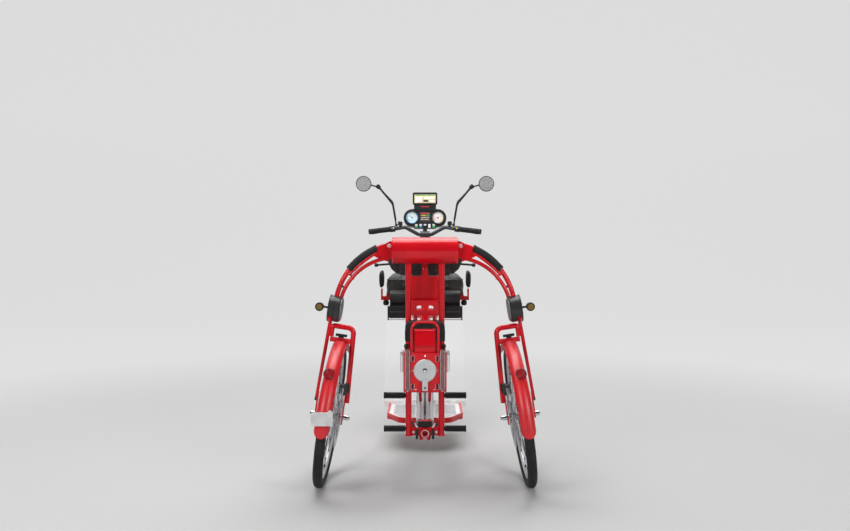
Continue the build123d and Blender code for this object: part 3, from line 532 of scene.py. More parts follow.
# Tyres: part of the section's arc in degrees, depth of a groove around, and whether the cross grooves cut it
TREAD = ((78, 0, 0), (72, 0, 0), (66, 0, 0), (62, 0, 1), (50, 0, 1), (39, 0, 1), (29, 0, 1), (26, 0, 0), (19, 0, 0),
         (17.5, 1, 0), (13.5, 1, 0), (12, 0, 0), (6, 0, 0))
WALL = ((0.0213, 0.3045), (0.0196, 0.2985), (0.0201, 0.2972), (0.0194, 0.2958), (0.0168, 0.291), (0.0139, 0.2862),
        (0.0128, 0.2845))
BLOCK = ((0.0, 0), (0.42, 0), (0.45, 1), (0.55, 1), (0.58, 0))
GROOVE_SLANT = 4.0


def tyre_section():
    right = []
    for degrees, groove, across in TREAD:
        angle = math.radians(degrees)
        right.append((TYRE_SECTION * math.sin(angle), TYRE_MID + TYRE_SECTION * math.cos(angle), groove, across))
    half = [(x, r, 0, 0) for x, r in reversed(WALL)] + right
    return half + [(0.0, TYRE_MID + TYRE_SECTION, 0, 0)] + [(-x, r, g, c) for x, r, g, c in reversed(half)]


def make_tyre(body, node):
    look = looks()
    place = wheel_place(body)
    rings = []
    for block in range(look.tread_blocks):
        for share, cut in BLOCK:
            ring = []
            for x, r, groove, across in tyre_section():
                angle = math.tau * (block + share) / look.tread_blocks + GROOVE_SLANT * abs(x) * across
                low = r - look.tread_depth * max(groove, cut * across)
                ring.append(place @ Vector((x, low * math.sin(angle), low * math.cos(angle))))
            rings.append(ring)
    tyre = Shape("tyre").skin(rings, loop=True).piece(node + "_tread", body, "tyre", 40)
    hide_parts(node)


class MakeTyres(bpy.types.Operator):
    """Tyres with a grooved tread and a bead line on each side wall"""
    bl_idname = "velomobile.tyres"
    bl_label = "Tyres"

    def execute(self, context):
        for body, node in WHEELS:
            make_tyre(body, node)
        return {"FINISHED"}


# Wheel trim: outlines as height and radius, and the radii where they stand
SPOKES, DISC_BOLTS = 28, 6
NIPPLE = ((-0.001, 0.0044), (0.002, 0.0044), (0.0028, 0.003), (0.011, 0.0026), (0.0115, 0.0014))
NIPPLE_AT, NIPPLE_SHIFT = 0.2622, 0.0026
VALVE = ((-0.001, 0.006), (0.003, 0.006), (0.004, 0.004), (0.026, 0.004), (0.027, 0.005), (0.037, 0.005),
         (0.038, 0.003))
VALVE_AT, VALVE_TURN = 0.2625, 0.11
DISC_FACE, DISC_BOLT_AT = 0.0421, 0.031


class MakeWheelTrim(bpy.types.Operator):
    """Spoke nipples, valve stems and brake disc bolts"""
    bl_idname = "velomobile.wheel_trim"
    bl_label = "Wheel trim"

    def execute(self, context):
        for body, _ in WHEELS:
            place = wheel_place(body)
            inboard = -1 if body == "rear_right_wheel" else 1
            shape = Shape("bright_steel")
            for k in range(SPOKES):
                shift = (NIPPLE_SHIFT if k % 2 else -NIPPLE_SHIFT) * inboard
                base = shifted(spun(place, -math.tau * k / SPOKES), shift, 0, NIPPLE_AT)
                shape.turned(spun(base, math.pi), NIPPLE, 8, "black_rubber")
            valve = shifted(spun(place, VALVE_TURN), 0, 0, VALVE_AT)
            shape.turned(spun(valve, math.pi), VALVE, 12, "black_rubber")
            for k in range(DISC_BOLTS):
                turn = spun(place, math.tau * (k + 0.5) / DISC_BOLTS)
                at = turn @ Vector((inboard * DISC_FACE, 0, DISC_BOLT_AT))
                axis = turn.to_3x3() @ Vector((inboard, 0, 0))
                shape.button(facing(at, axis, FORWARD), 0.0042, 0.003)
            shape.piece(body + "_trim", body, "hub_steel")
        return {"FINISHED"}


# Seat pads
PAD_GRAIN, PAD_STEPS, PAD_PRESSURE = 0.0055, 20, 4.0


def pad_object(name, shape):
    bmesh.ops.recalc_face_normals(shape.bm, faces=shape.bm.faces)
    blank = added(name + "_blank", shape.mesh(name))
    remesh = blank.modifiers.new("Even faces", "REMESH")
    remesh.mode = "VOXEL"
    remesh.voxel_size = PAD_GRAIN
    graph = bpy.context.evaluated_depsgraph_get()
    even = bpy.data.meshes.new_from_object(blank.evaluated_get(graph))
    bpy.data.objects.remove(blank)
    return added(name, even)


def swell(pad, limit, still=lambda point: 1.0):
    """Blows the pad up as cloth, holding the points that rest on something."""
    rest = [vertex.co.copy() for vertex in pad.data.vertices]
    scene = bpy.context.scene
    cloth = pad.modifiers.new("Stuffing", "CLOTH")
    cloth.settings.quality = 4
    cloth.settings.use_pressure = True
    cloth.settings.uniform_pressure_force = PAD_PRESSURE
    cloth.settings.effector_weights.gravity = 0.0
    cloth.point_cache.frame_start = 1
    cloth.point_cache.frame_end = PAD_STEPS
    for step in range(1, PAD_STEPS + 1):
        scene.frame_set(step)
    graph = bpy.context.evaluated_depsgraph_get()
    moved = [vertex.co.copy() for vertex in pad.evaluated_get(graph).data.vertices]
    pad.modifiers.remove(cloth)
    scene.frame_set(1)
    for vertex, start, end in zip(pad.data.vertices, rest, moved):
        step = end - start
        if step.length > limit:
            step = step * (limit / step.length)
        vertex.co = start + step * still(start)
    pad.data.update()


def sew(pad, depth, width, seams):
    """Presses sewn lines into the pad; a seam gives a point's distance from its line."""
    normals = [vertex.normal.copy() for vertex in pad.data.vertices]
    for vertex, normal in zip(pad.data.vertices, normals):
        near = min(seam(vertex.co) for seam in seams)
        vertex.co = vertex.co - normal * depth * math.exp(-(near / width) ** 2)
    pad.data.update()


def dress_pad(pad, nodes, slot="seat_cover"):
    pad.data.materials.clear()
    pad.data.materials.append(finish(slot))
    pad.data.shade_smooth()
    rounder = pad.modifiers.new("Smooth cover", "SUBSURF")
    rounder.levels = rounder.render_levels = 1
    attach(pad, "frame")
    if nodes:
        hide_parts(*nodes)


def piping(pad, points, wire, name, lift=0.3, slot="seat_cover"):
    """A thin welt along the points, laid on the pad."""
    mesh = pad.data
    tree = BVHTree.FromPolygons([v.co for v in mesh.vertices], [p.vertices for p in mesh.polygons])
    laid = []
    for point in points:
        near, normal, _, _ = tree.find_nearest(Vector(point))
        laid.append(near + normal * wire * lift)
    return Shape(slot).pipe(laid, wire, 8, loop=True).piece(name, "frame", slot, 60)


def node_box(node):
    """A node's low corner, high corner, middle and size."""
    low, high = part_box(node)
    return low, high, (low + high) / 2, high - low


def make_cushion(swelling, panel=0.108, far=1.0):
    low, high, middle, size = node_box("seat_cushion")
    foot = Matrix.Translation((middle.x, middle.y, low.z + 0.0004))
    shape = Shape().slab(foot, size.x - 0.016, size.y - 0.016, size.z - 0.010, 0.05, 0.03)
    cushion = pad_object("seat_cushion_pad", shape)
    swell(cushion, swelling, lambda p: min(1.0, max(0.0, (p.z - low.z) / 0.02)))

    def below(p):
        return 0.0 if p.z > low.z + 0.05 else far

    def beside(p):
        return 0.0 if abs(p.x) < panel else far

    sew(cushion, 0.006, 0.007, [lambda p: abs(abs(p.x) - panel) + below(p),
                                lambda p: abs(p.y - middle.y + 0.05) + beside(p) + below(p)])
    dress_pad(cushion, ["seat_cushion"])
    edge = []
    for k in range(120):
        x, y = math.cos(math.tau * k / 120), math.sin(math.tau * k / 120)
        reach = min(1 / max(abs(x), abs(y)), 1.3)
        edge.append((middle.x + (size.x / 2 - 0.02) * x * reach, middle.y + (size.y / 2 - 0.02) * y * reach,
                     low.z + 0.072))
    piping(cushion, edge, 0.0028, "seat_cushion_piping")


def make_back(swelling, bow=0.095):
    low, high, middle, size = node_box("seat_back")
    face = facing((middle.x, high.y - 0.006, middle.z), BACK)
    back = pad_object("seat_back_pad",
                      Shape().slab(face, size.x - 0.014, size.z - 0.014, size.y - 0.012, 0.088, 0.016))
    swell(back, swelling * 0.7)
    sew(back, 0.005, 0.006, [lambda p: abs(abs(p.x) - 0.062), lambda p: abs(abs(p.x) - 0.125)])
    dress_pad(back, ["seat_back"])
    edge = []
    for k in range(140):
        x, z = math.cos(math.tau * k / 140), math.sin(math.tau * k / 140)
        across = math.copysign(max(size.x / 2 - bow, 0), x) + bow * x
        edge.append((middle.x + across, low.y + 0.012, middle.z + bow * z))
    piping(back, edge, 0.0026, "seat_back_piping")


def make_bolsters():
    low, high, middle, size = node_box("seat_bolsters")
    for side, name in ((-1, "hip_bolster_left"), (1, "hip_bolster_right")):
        face = facing((side * (high.x - 0.0195), middle.y, middle.z), (side, 0, 0))
        bolster = pad_object(name, Shape().slab(face, size.y - 0.01, size.z - 0.01, 0.016, 0.022, 0.006))
        swell(bolster, 0.004)
        dress_pad(bolster, ["seat_bolsters"] if side > 0 else [], "black_rubber")


class MakeSeatPads(bpy.types.Operator):
    """Seat cushion, seat back and hip bolsters, stuffed, sewn and edged with piping"""
    bl_idname = "velomobile.seat_pads"
    bl_label = "Seat pads"

    def execute(self, context):
        swelling = looks().pad_swell
        make_cushion(swelling)
        make_back(swelling)
        make_bolsters()
        return {"FINISHED"}


# Instruments: side, face, rim, start of the yellow arc, second arc, ticks and the needle's angle of each dial
DIALS = ((-1, "dial_sky", "dial_blue", 50, "dial_green", "dial_ink", 140),
         (1, "dial_white", "dial_ink", -70, "dial_red", "dial_red", 200))
DIAL_X, POD_DEEP = 0.078, 0.0402
DIAL_FACE = ((-0.0006, 0.0358), (0.0006, 0.0358), (0.0008, 0.0352), (0.0010, 0.012))
KEYS = ("dial_green", "dial_blue", "dial_red", "key_white", "dial_green")


class MakeInstruments(bpy.types.Operator):
    """Two dials with rings, ticks and needles, the bars between them and the row of keys"""
    bl_idname = "velomobile.instruments"
    bl_label = "Instruments"

    def execute(self, context):
        shape = Shape("dial_white")
        for side, face, rim, yellow, second, ticks, needle in DIALS:
            dial = shifted(POD_FACE, side * DIAL_X, 0, POD_DEEP)
            shape.turned(dial, DIAL_FACE, 48, face)
            edge = shifted(dial, 0, 0, 0.0012)
            shape.ring(edge, 0.0335, 0.0016, 48, 8, rim)
            shape.ring(edge, 0.0275, 0.0018, 30, 8, "dial_yellow", math.radians(yellow), math.radians(80))
            shape.ring(edge, 0.0275, 0.0018, 30, 8, second, math.radians(150), math.radians(70))
            for k in range(13):
                tick = shifted(spun(edge, math.radians(225 - 22.5 * k), "Z"), 0.0225, 0, -0.0004)
                shape.slab(tick, 0.003 if k % 3 else 0.005, 0.0009, 0.0009, 0.0003, 0, ticks, 2)
            hand = shifted(spun(edge, math.radians(needle), "Z"), 0.0105, 0, 0.0004)
            shape.slab(hand, 0.024, 0.0014, 0.0008, 0.0006, 0, "dial_red", 3)
            shape.button(shifted(edge, 0, 0, -0.0004), 0.0042, 0.0034, "dial_ink")
            shape.ring(shifted(POD_FACE, side * DIAL_X, 0, 0.0482), 0.0385, 0.0016, 56, 8, "black_metal")
        panel = shifted(POD_FACE, 0, 0, POD_DEEP)
        shape.slab(shifted(panel, 0, 0.006), 0.062, 0.058, 0.0008, 0.006, 0.0003, "dial_ink")
        shape.slab(shifted(panel, 0, 0.026, 0.0008), 0.05, 0.006, 0.0008, 0.001, 0, "dial_red")
        for k in range(8):
            bar = shifted(panel, -0.021 + 0.006 * k, 0.014, 0.0008)
            tint = "dial_yellow" if k < 4 else "dial_green"
            shape.slab(bar, 0.0042, 0.004 + 0.0009 * k, 0.0008, 0.0006, 0, tint, 2)
        for row in (0, 1):
            for k in range(6):
                tile = shifted(panel, -0.02 + 0.008 * k, 0.001 - 0.011 * row, 0.0008)
                tint = "key_white" if (k + row) % 3 else "dial_yellow"
                shape.slab(tile, 0.006, 0.004, 0.0007, 0.0008, 0, tint, 2)
        for k, colour in enumerate(KEYS):
            key = shifted(POD_FACE, -0.052 + 0.026 * k, -0.05, POD_DEEP)
            for y, tint in ((0.0055, "key_white"), (-0.0055, colour)):
                shape.slab(shifted(key, 0, y), 0.015, 0.011, 0.0035, 0.003, 0.0012, tint)
        shape.piece("instrument_faces", "steering", "black_plastic")
        return {"FINISHED"}


# Tiles on the screen: X, Y, width, height and finish
TILES = ((0, 0.0215, 0.122, 0.005, "dial_green"), (-0.038, -0.004, 0.04, 0.034, "dial_white"),
         (0.024, 0.006, 0.066, 0.014, "dial_white"), (0.005, -0.013, 0.03, 0.014, "dial_ink"),
         (0.042, -0.013, 0.03, 0.014, "dial_white"))


class MakeDisplay(bpy.types.Operator):
    """Screen with plain tiles, its bezel line and the strip on the neck below"""
    bl_idname = "velomobile.display"
    bl_label = "Display"

    def execute(self, context):
        shape = Shape("screen")
        face = shifted(DISPLAY_FACE, 0, -0.003, 0.0201)
        shape.slab(face, 0.134, 0.059, 0.0012, 0.005, 0.0005, "dial_ink")
        shape.slab(shifted(face, 0, 0, 0.0011), 0.126, 0.051, 0.0005, 0.003)
        for x, y, wide, high, tint in TILES:
            shape.slab(shifted(face, x, y, 0.0015), wide, high, 0.0003, 0.002, 0, tint, 3)
        shape.slab(shifted(DISPLAY_FACE, 0, -0.05, 0.0171), 0.05, 0.005, 0.0012, 0.002, 0.0004, "dial_red")
        shape.piece("display_screen", "steering", "black_plastic")
        return {"FINISHED"}


# Grips: radii of core, flange, valley and rib, and how many ribs
GRIP_CORE, GRIP_FLANGE, GRIP_LOW, GRIP_HIGH, GRIP_RIBS = 0.0125, 0.0165, 0.0146, 0.0158, 22


class MakeGrips(bpy.types.Operator):
    """Ribbed rubber grips with end flanges"""
    bl_idname = "velomobile.grips"
    bl_label = "Grips"

    def execute(self, context):
        shape = Shape("black_rubber")
        for side in (-1, 1):
            flip = Vector((side, 1, 1))
            start = (GRIP_IN + (GRIP_OUT - GRIP_IN) * 0.25) * flip
            end = (GRIP_IN + (GRIP_OUT - GRIP_IN) * 1.03) * flip
            length = (end - start).length
            outline = [(0.0, GRIP_CORE), (0.0, GRIP_FLANGE), (0.004, GRIP_FLANGE), (0.006, 0.0148)]
            step = (length - 0.016) / GRIP_RIBS
            for k in range(GRIP_RIBS):
                at = 0.008 + step * k
                outline += [(at, GRIP_LOW), (at + step * 0.25, GRIP_HIGH), (at + step * 0.65, GRIP_HIGH),
                            (at + step * 0.9, GRIP_LOW)]
            outline += [(length - 0.006, 0.0148), (length - 0.005, GRIP_FLANGE), (length - 0.001, GRIP_FLANGE),
                        (length, 0.015), (length, 0.004)]
            shape.turned(facing(start, end - start), outline)
        grips = shape.piece("grip_ribs", "steering", "black_rubber")
        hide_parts("grips")
        return {"FINISHED"}


# Headlamp: outline of one reflector, and where the three of them sit
REFLECTOR = ((0.0, 0.009), (0.0006, 0.0088), (0.0003, 0.006), (0.001, 0.002))
REFLECTORS = ((-0.012, 0.006), (0.012, 0.006), (0.0, -0.012))


class MakeLamps(bpy.types.Operator):
    """Ringed lenses and rims for tail lamps and turn lamps, and the headlamp's reflector"""
    bl_idname = "velomobile.lamps"
    bl_label = "Lamps"

    def execute(self, context):
        tails, turns, lamp = Shape("red_lens"), Shape("amber_lens"), Shape("bright_steel")
        for side, body in REAR_SIDES:
            at = Vector((side * 0.009, -TAIL_R * math.cos(TAIL_TURN) - 0.022, TAIL_R * math.sin(TAIL_TURN)))
            tail = facing(wheel_place(body) @ at, BACK)
            tails.ring(shifted(tail, 0, 0, -0.003), 0.0215, 0.0019, 44, 8, "black_plastic")
            for radius in (0.0155, 0.0115, 0.0075):
                tails.ring(shifted(tail, 0, 0, 0.0002), radius, 0.0011)
            tails.button(tail, 0.0042, 0.0022)
            turn = facing((side * 0.483, REAR_Y - 0.0282, 0.830), BACK)
            turns.ring(shifted(turn, 0, 0, -0.0035), 0.0160, 0.0042, 44, 14, "black_plastic")
            for radius in (0.0085, 0.005):
                turns.ring(shifted(turn, 0, 0, -0.0002), radius, 0.0008, 32, 6)
        tails.piece("tail_lamp_rings", "frame", "red_lens")
        turns.piece("turn_lamp_rings", "frame", "amber_lens")
        low, high, middle, size = node_box("headlamp_lens")
        front = facing((middle.x, high.y, middle.z), FORWARD)
        lamp.ring(shifted(front, 0, 0, -0.008), 0.0385, 0.002, 48, 8, "black_metal")
        for x, y in REFLECTORS:
            lamp.turned(shifted(front, x, y, -0.0004), REFLECTOR, 24)
        lamp.piece("headlamp_reflectors", "steering", "black_metal")
        return {"FINISHED"}


class MakePlateTrim(bpy.types.Operator):
    """Raised rim, two screws and the corner tab of the blank number plate"""
    bl_idname = "velomobile.plate_trim"
    bl_label = "Number plate"

    def execute(self, context):
        low, high, middle, size = node_box("number_plate")
        face = facing((middle.x, low.y, middle.z), BACK)
        inset = 0.003
        rim = [face @ Vector((x, y, 0)) for x, y in rounded(size.x / 2 - inset, size.z / 2 - inset, inset)]
        shape = Shape("plate_grey").pipe(rim, 0.0009, 8, loop=True)
        for x in (-0.024, 0.024):
            shape.button(shifted(face, x, 0.021), 0.0032, 0.0022, "bright_steel")
        tab = facing(face @ Vector((0.034, 0.03, -0.0024)), BACK)
        shape.slab(tab, 0.014, 0.012, 0.0022, 0.003, 0.0005)
        shape.piece("number_plate_rim", "frame", "plate_grey")
        return {"FINISHED"}


# Footboard mat: inner and outer X, the rear point, the corner, the front, and the number of ribs
MAT_INNER, MAT_OUTER, MAT_RIBS = 0.056, 0.176, 17
MAT_BACK, MAT_CORNER, MAT_FRONT = REAR_Y + 0.672, REAR_Y + 0.772, REAR_Y + 1.018


class MakeBoardMat(bpy.types.Operator):
    """Two ribbed mats on the footboard, either side of the beam"""
    bl_idname = "velomobile.board_mat"
    bl_label = "Footboard mat"

    def execute(self, context):
        shape = Shape("mat_grey")
        for side in (-1, 1):
            outline = [Vector((side * x, y)) for x, y in
                       ((MAT_INNER, MAT_FRONT), (MAT_OUTER, MAT_FRONT), (MAT_OUTER, MAT_CORNER),
                        (0.128, MAT_BACK + 0.012), (MAT_INNER, MAT_BACK))]
            middle = sum(outline, Vector((0, 0))) / len(outline)
            rings = []
            for inset, height in ((0.0, 0.0), (0.0, 0.0016), (0.001, 0.0022)):
                pulled = [point + (middle - point).normalized() * inset for point in outline]
                rings.append([Vector((p.x, p.y, BOARD_TOP + 0.0001 + height)) for p in pulled])
            shape.skin(rings)
            for k in range(MAT_RIBS):
                y = MAT_CORNER + 0.008 + (MAT_FRONT - MAT_CORNER - 0.016) * k / (MAT_RIBS - 1)
                rib = Matrix.Translation((side * (MAT_INNER + MAT_OUTER) / 2, y, BOARD_TOP + 0.0022))
                shape.slab(rib, 0.106, 0.006, 0.0014, 0.0028, 0.0008, steps=3)
        shape.piece("footboard_mat", "frame", "board_grey")
        return {"FINISHED"}


# Battery unit: screws as X, Z and radius; the clasp's wire; the panel's half width, then its depth and height at
# bottom and top; the lens outline as X, Y behind the axle and Z
SCREWS = ((0, 0.624, 0.0042), (-0.056, 0.56, 0.003), (0.056, 0.56, 0.003), (-0.04032, 0.477, 0.003),
          (0.04032, 0.477, 0.003))
CLASP_X = 0.1085
CLASP = ((0.108, 0.545), (0.108, 0.63), (0.094, 0.634), (0.094, 0.545), (0.101, 0.541))
PANEL_Y = REAR_Y - 0.1565
PANEL = ((0.044, 0.0, 0.664, 0.0, 0.738), (0.044, 0.014, 0.666, 0.003, 0.737), (0.042, 0.0155, 0.669, 0.005, 0.735))
# a pale line laid along this outline is a painted highlight on the lens edge
LENS = ((0.0676, 0.1797, 0.650), (0.0676, 0.1797, 0.480), (0.077, 0.1866, 0.4695), (0.0864, 0.1797, 0.480),
        (0.0864, 0.1797, 0.650))


def battery_fastenings():
    shape = Shape("bright_steel")
    for x, z, radius in SCREWS:
        shape.button(facing((x, BATTERY_Y, z), BACK), radius, 0.003)
    cap = facing((0, BATTERY_Y - 0.0072, 0.5605), BACK)
    shape.ring(cap, 0.0415, 0.0012, 64, 8, "satin_steel")
    shape.ring(cap, 0.026, 0.0009, 48, 8, "satin_steel")
    shape.bolt(cap, 0.008, 0.005)
    for k in range(6):
        shape.button(polar(cap, 0.034, math.tau * (k + 0.5) / 6), 0.0022, 0.0016, "satin_steel")
    lever = facing((0, BATTERY_Y - 0.0152, 0.493), BACK)
    shape.slab(lever, 0.016, 0.03, 0.0012, 0.006, 0.0005, "satin_steel")
    # black patch on the lever standing for its notch: painted shade
    shape.slab(shifted(lever, 0, -0.006, 0.0012), 0.006, 0.01, 0.0006, 0.0028, 0, "black_plastic")
    for side in (-1, 1):
        shape.pipe([(side * CLASP_X, REAR_Y - y, z) for y, z in CLASP], 0.0016, 8)
    shape.piece("battery_fastenings", "frame", "bright_steel")


def battery_ribs():
    ribs = Shape("black_plastic")
    for side in (-1, 1):
        for k in range(7):
            at = facing((side * 0.0879, REAR_Y - 0.124 + 0.016 * k, 0.712), (side, 0, 0))
            ribs.slab(at, 0.006, 0.044, 0.0016, 0.0028, 0.0006, steps=3)
    for k in range(9):
        at = Matrix.Translation((-0.056 + 0.014 * k, REAR_Y - 0.078, 0.768))
        ribs.slab(at, 0.006, 0.09, 0.0014, 0.0028, 0.0006, steps=3)
    ribs.piece("battery_pack_ribs", "frame", "black_plastic")


def battery_panel():
    rings = []
    for half, low_y, low_z, high_y, high_z in PANEL:
        rings.append([(-half, PANEL_Y - low_y, low_z), (half, PANEL_Y - low_y, low_z),
                      (half, PANEL_Y - high_y, high_z), (-half, PANEL_Y - high_y, high_z)])
    Shape("red_paint").skin(rings).piece("battery_panel", "frame", "red_paint")


def battery_edge_highlights_and_slot_shade():
    edges = Shape("edge_pale")
    for side in (-1, 1):
        # pale line along the lens edge: painted highlight
        edges.pipe([(side * x, REAR_Y - y, z) for x, y, z in LENS], 0.0011, 8)
        for z in (0.489, 0.613):
            # black plate at each recess floor: painted shade
            slot = facing((side * 0.0545, BATTERY_Y + 0.0034, z), BACK)
            edges.slab(slot, 0.0135, 0.0245, 0.0006, 0.004, 0, "black_plastic")
            corners = ((1, 1), (-1, 1), (-1, -1), (1, -1))
            # pale rim around each recess: painted highlight
            rim = [slot @ Vector((sx * 0.0068, sy * 0.0125, 0.0036)) for sx, sy in corners]
            edges.pipe(rim, 0.0008, 6, loop=True)
    edges.piece("battery_edge_highlights_and_slot_shade", "frame", "clear_panel")


class MakeBatteryTrim(bpy.types.Operator):
    """Screws, cap ring, lever notch as a black patch (painted shade), cooling ribs, panel, lens edges and slot rims
    as pale lines (painted highlights), black slot floors (painted shade) and clasp wires of the battery unit
    """
    bl_idname = "velomobile.battery_trim"
    bl_label = "Battery trim"

    def execute(self, context):
        battery_fastenings()
        battery_ribs()
        battery_panel()
        battery_edge_highlights_and_slot_shade()
        return {"FINISHED"}


class MakeCaseTrim(bpy.types.Operator):
    """Posts, lower rail and face ridge of the two side cases"""
    bl_idname = "velomobile.case_trim"
    bl_label = "Side case trim"

    def execute(self, context):
        low, high, middle, size = node_box("side_cases")
        shape = Shape("black_metal")
        for side in (-1, 1):
            outer, inner, rear, under = side * (high.x + 0.0022), side * 0.09, low.y + 0.008, low.z - 0.0065
            shape.pipe([(outer, rear, low.z + 0.058), (outer, rear, low.z - 0.009)], 0.0033, 12)
            shape.pipe([(outer, rear, under), (inner, rear, under), (inner, rear, low.z + 0.003)], 0.0021, 10,
                       "satin_steel")
            ridge = facing((side * 0.13, low.y, low.z + 0.031), BACK)
            shape.slab(ridge, 0.07, 0.0042, 0.0018, 0.002, 0.0006, "dial_ink")
        shape.piece("side_case_trim", "frame", "black_metal")
        return {"FINISHED"}


# Frame trim: turned outlines as height and radius, flat outlines as X and Z
GUSSET_CAP = ((-0.0005, 0.0098), (0.0024, 0.0098), (0.0042, 0.0082), (0.0052, 0.0045))
DRUM_COVER = ((-0.0005, 0.054), (0.004, 0.054), (0.0075, 0.048), (0.0085, 0.02), (0.0085, 0.008))
LEG_TIP = ((0.0, 0.0074), (0.009, 0.0078), (0.0135, 0.0062), (0.0145, 0.003))
FOOT_WEB = ((0.0625, 0.256), (0.0625, 0.306), (0.056, 0.306), (0.040, 0.266), (0.040, 0.256))
# dark wedge on the foot web's rear face: painted shadow
FOOT_SHADOW_WEDGE = ((0.060, 0.274), (0.060, 0.302), (0.0555, 0.302), (0.0455, 0.274))
RAIL_CORNER = ((0.205, 1.085), (0.232, 1.079), (0.243, 1.068), (0.226, 1.056), (0.196, 1.046))
LINK_BUTTONS = ((0.346, 0.984), (0.379, 0.9215))
MAST_X = 0.076
MAST_BEADS = ((0.233, 0.0142, 0.0024), (1.0235, 0.0142, 0.0024), (0.2315, 0.0125, 0.0016))
BOOT_R = 0.0625


def rail_drop(share):
    """How far the rail hangs below the arm's middle line."""
    return 0.0205 * math.sin(math.pi * min(1.0, max(0.0, (share - 0.02) / 0.66))) ** 0.4


class MakeFrameBolts(bpy.types.Operator):
    """Bolts on gussets with pale pink caps (a painted highlight), mast foot with dark wedges (painted shadow), rack
    and drums, sleeve wraps and rails, leg tips and the mast's weld beads
    """
    bl_idname = "velomobile.frame_bolts"
    bl_label = "Frame bolts"

    def middle(self, side):
        """Trim of gusset, rack and mast on one side."""
        bright, dark, beads = self.bright, self.dark, self.beads
        # gusset caps in pale pink: a painted highlight
        bright.turned(facing((side * 0.163, REAR_Y - 0.016, 1.108), BACK), GUSSET_CAP, 28, "cap_rose")
        dark.bolt(facing((side * 0.159, REAR_Y - 0.016, 1.041), BACK), 0.006, 0.005)
        bright.bolt(facing((side * 0.052, REAR_Y - 0.015, 0.2505), BACK), 0.0042, 0.005, "satin_steel")
        for z in (0.798, 0.847):
            beads.button(facing((side * 0.055, REAR_Y - 0.012, z), BACK), 0.0028, 0.002)
        for z in (1.0, 1.075):
            bright.button(facing((side * 0.008, REAR_Y + 0.0615, z), BACK), 0.0026, 0.002)
        beads.plate([(side * x, z) for x, z in FOOT_WEB], REAR_Y - 0.004, REAR_Y + 0.002)
        # thin dark plate on the web's rear face: painted shadow
        dark.plate([(side * x, z) for x, z in FOOT_SHADOW_WEDGE], REAR_Y - 0.0055, REAR_Y - 0.0038)
        for z, reach, wire in MAST_BEADS:
            beads.ring(Matrix.Translation((side * MAST_X, REAR_Y, z)), reach, wire, 36)

    def arm(self, side):
        """Sleeve wrap with its cuffs, rail and link buttons of one arm."""
        for x, z in LINK_BUTTONS:
            self.dark.button(facing((side * x, REAR_Y - 0.0046, z), BACK), 0.0052, 0.004)
        wrap = [(-side * x, REAR_Y, z) for x, z in arc_points(ARM, 0.105, 0.575, 40)]
        for points, radius in ((wrap, 0.0172), (wrap[:4], 0.0184), (wrap[-4:], 0.0184)):
            self.wraps.pipe(points, radius, 24)
        rail = arc_points(ARM, 0.07, 0.64, 40, rail_drop)
        self.rails.pipe([(-side * x, REAR_Y - 0.004, z) for x, z in rail], 0.0075, 12)
        self.rails.plate([(side * x, z) for x, z in RAIL_CORNER], REAR_Y - 0.009, REAR_Y + 0.009)

    def drum(self, side, body):
        """Bolts, inboard cover, boot and fork leg tip at one drum."""
        place = wheel_place(body)
        hub = place @ Vector((side * DRUM_OUT, 0, DRUM_UP))
        axis = place.to_3x3() @ Vector((side, 0, 0))
        outside = facing(hub + axis * DRUM_HALF, axis, FORWARD)
        self.dark.bolt(outside, 0.009, 0.006)
        for k in range(6):
            self.dark.button(polar(outside, 0.043, math.tau * k / 6), 0.0038, 0.0028)
        self.bright.turned(facing(hub - axis * DRUM_HALF, -axis, FORWARD), DRUM_COVER, 48, "drum_face")
        boot = []
        for k in range(9):
            angle = math.radians(-14 + 8.5 * k)
            at = (side * 0.0625, -BOOT_R * math.sin(angle), DRUM_UP - BOOT_R * math.cos(angle))
            boot.append(place @ Vector(at))
        self.beads.pipe(boot, 0.0088, 14)
        foot = place @ Vector((side * 0.0764, 0, 0.071))
        line = (place.to_3x3() @ Vector((side * 0.0144, 0, -0.381))).normalized()
        self.dark.turned(facing(foot - line * 0.004, line, FORWARD), LEG_TIP, 20)

    def execute(self, context):
        self.bright, self.dark, self.beads = Shape("bright_steel"), Shape("black_metal"), Shape("red_paint")
        self.rails, self.wraps = Shape("red_paint"), Shape("black_rubber")
        for side, body in REAR_SIDES:
            self.middle(side)
            self.arm(side)
            self.drum(side, body)
        self.bright.ring(facing((0, REAR_Y - 0.046, 0.2515), BACK), 0.0165, 0.0026, 44, 10)
        self.bright.piece("frame_bolts", "frame", "bright_steel")
        self.rails.piece("sleeve_rails", "frame", "red_paint")
        self.wraps.piece("sleeve_wraps", "frame", "black_rubber")
        self.dark.piece("dark_bolts", "frame", "black_metal")
        self.beads.piece("mast_beads", "frame", "red_paint")
        return {"FINISHED"}


# Mirror stalk as X and Z, and the collar at its head as height and radius
STALK = ((0.175, 1.258), (0.1885, 1.3385), (0.1925, 1.3505), (0.199, 1.361), (0.268, 1.4445))
STALK_COLLAR = ((-0.002, 0.007), (0.002, 0.0118), (0.012, 0.0128), (0.022, 0.0118), (0.026, 0.007))


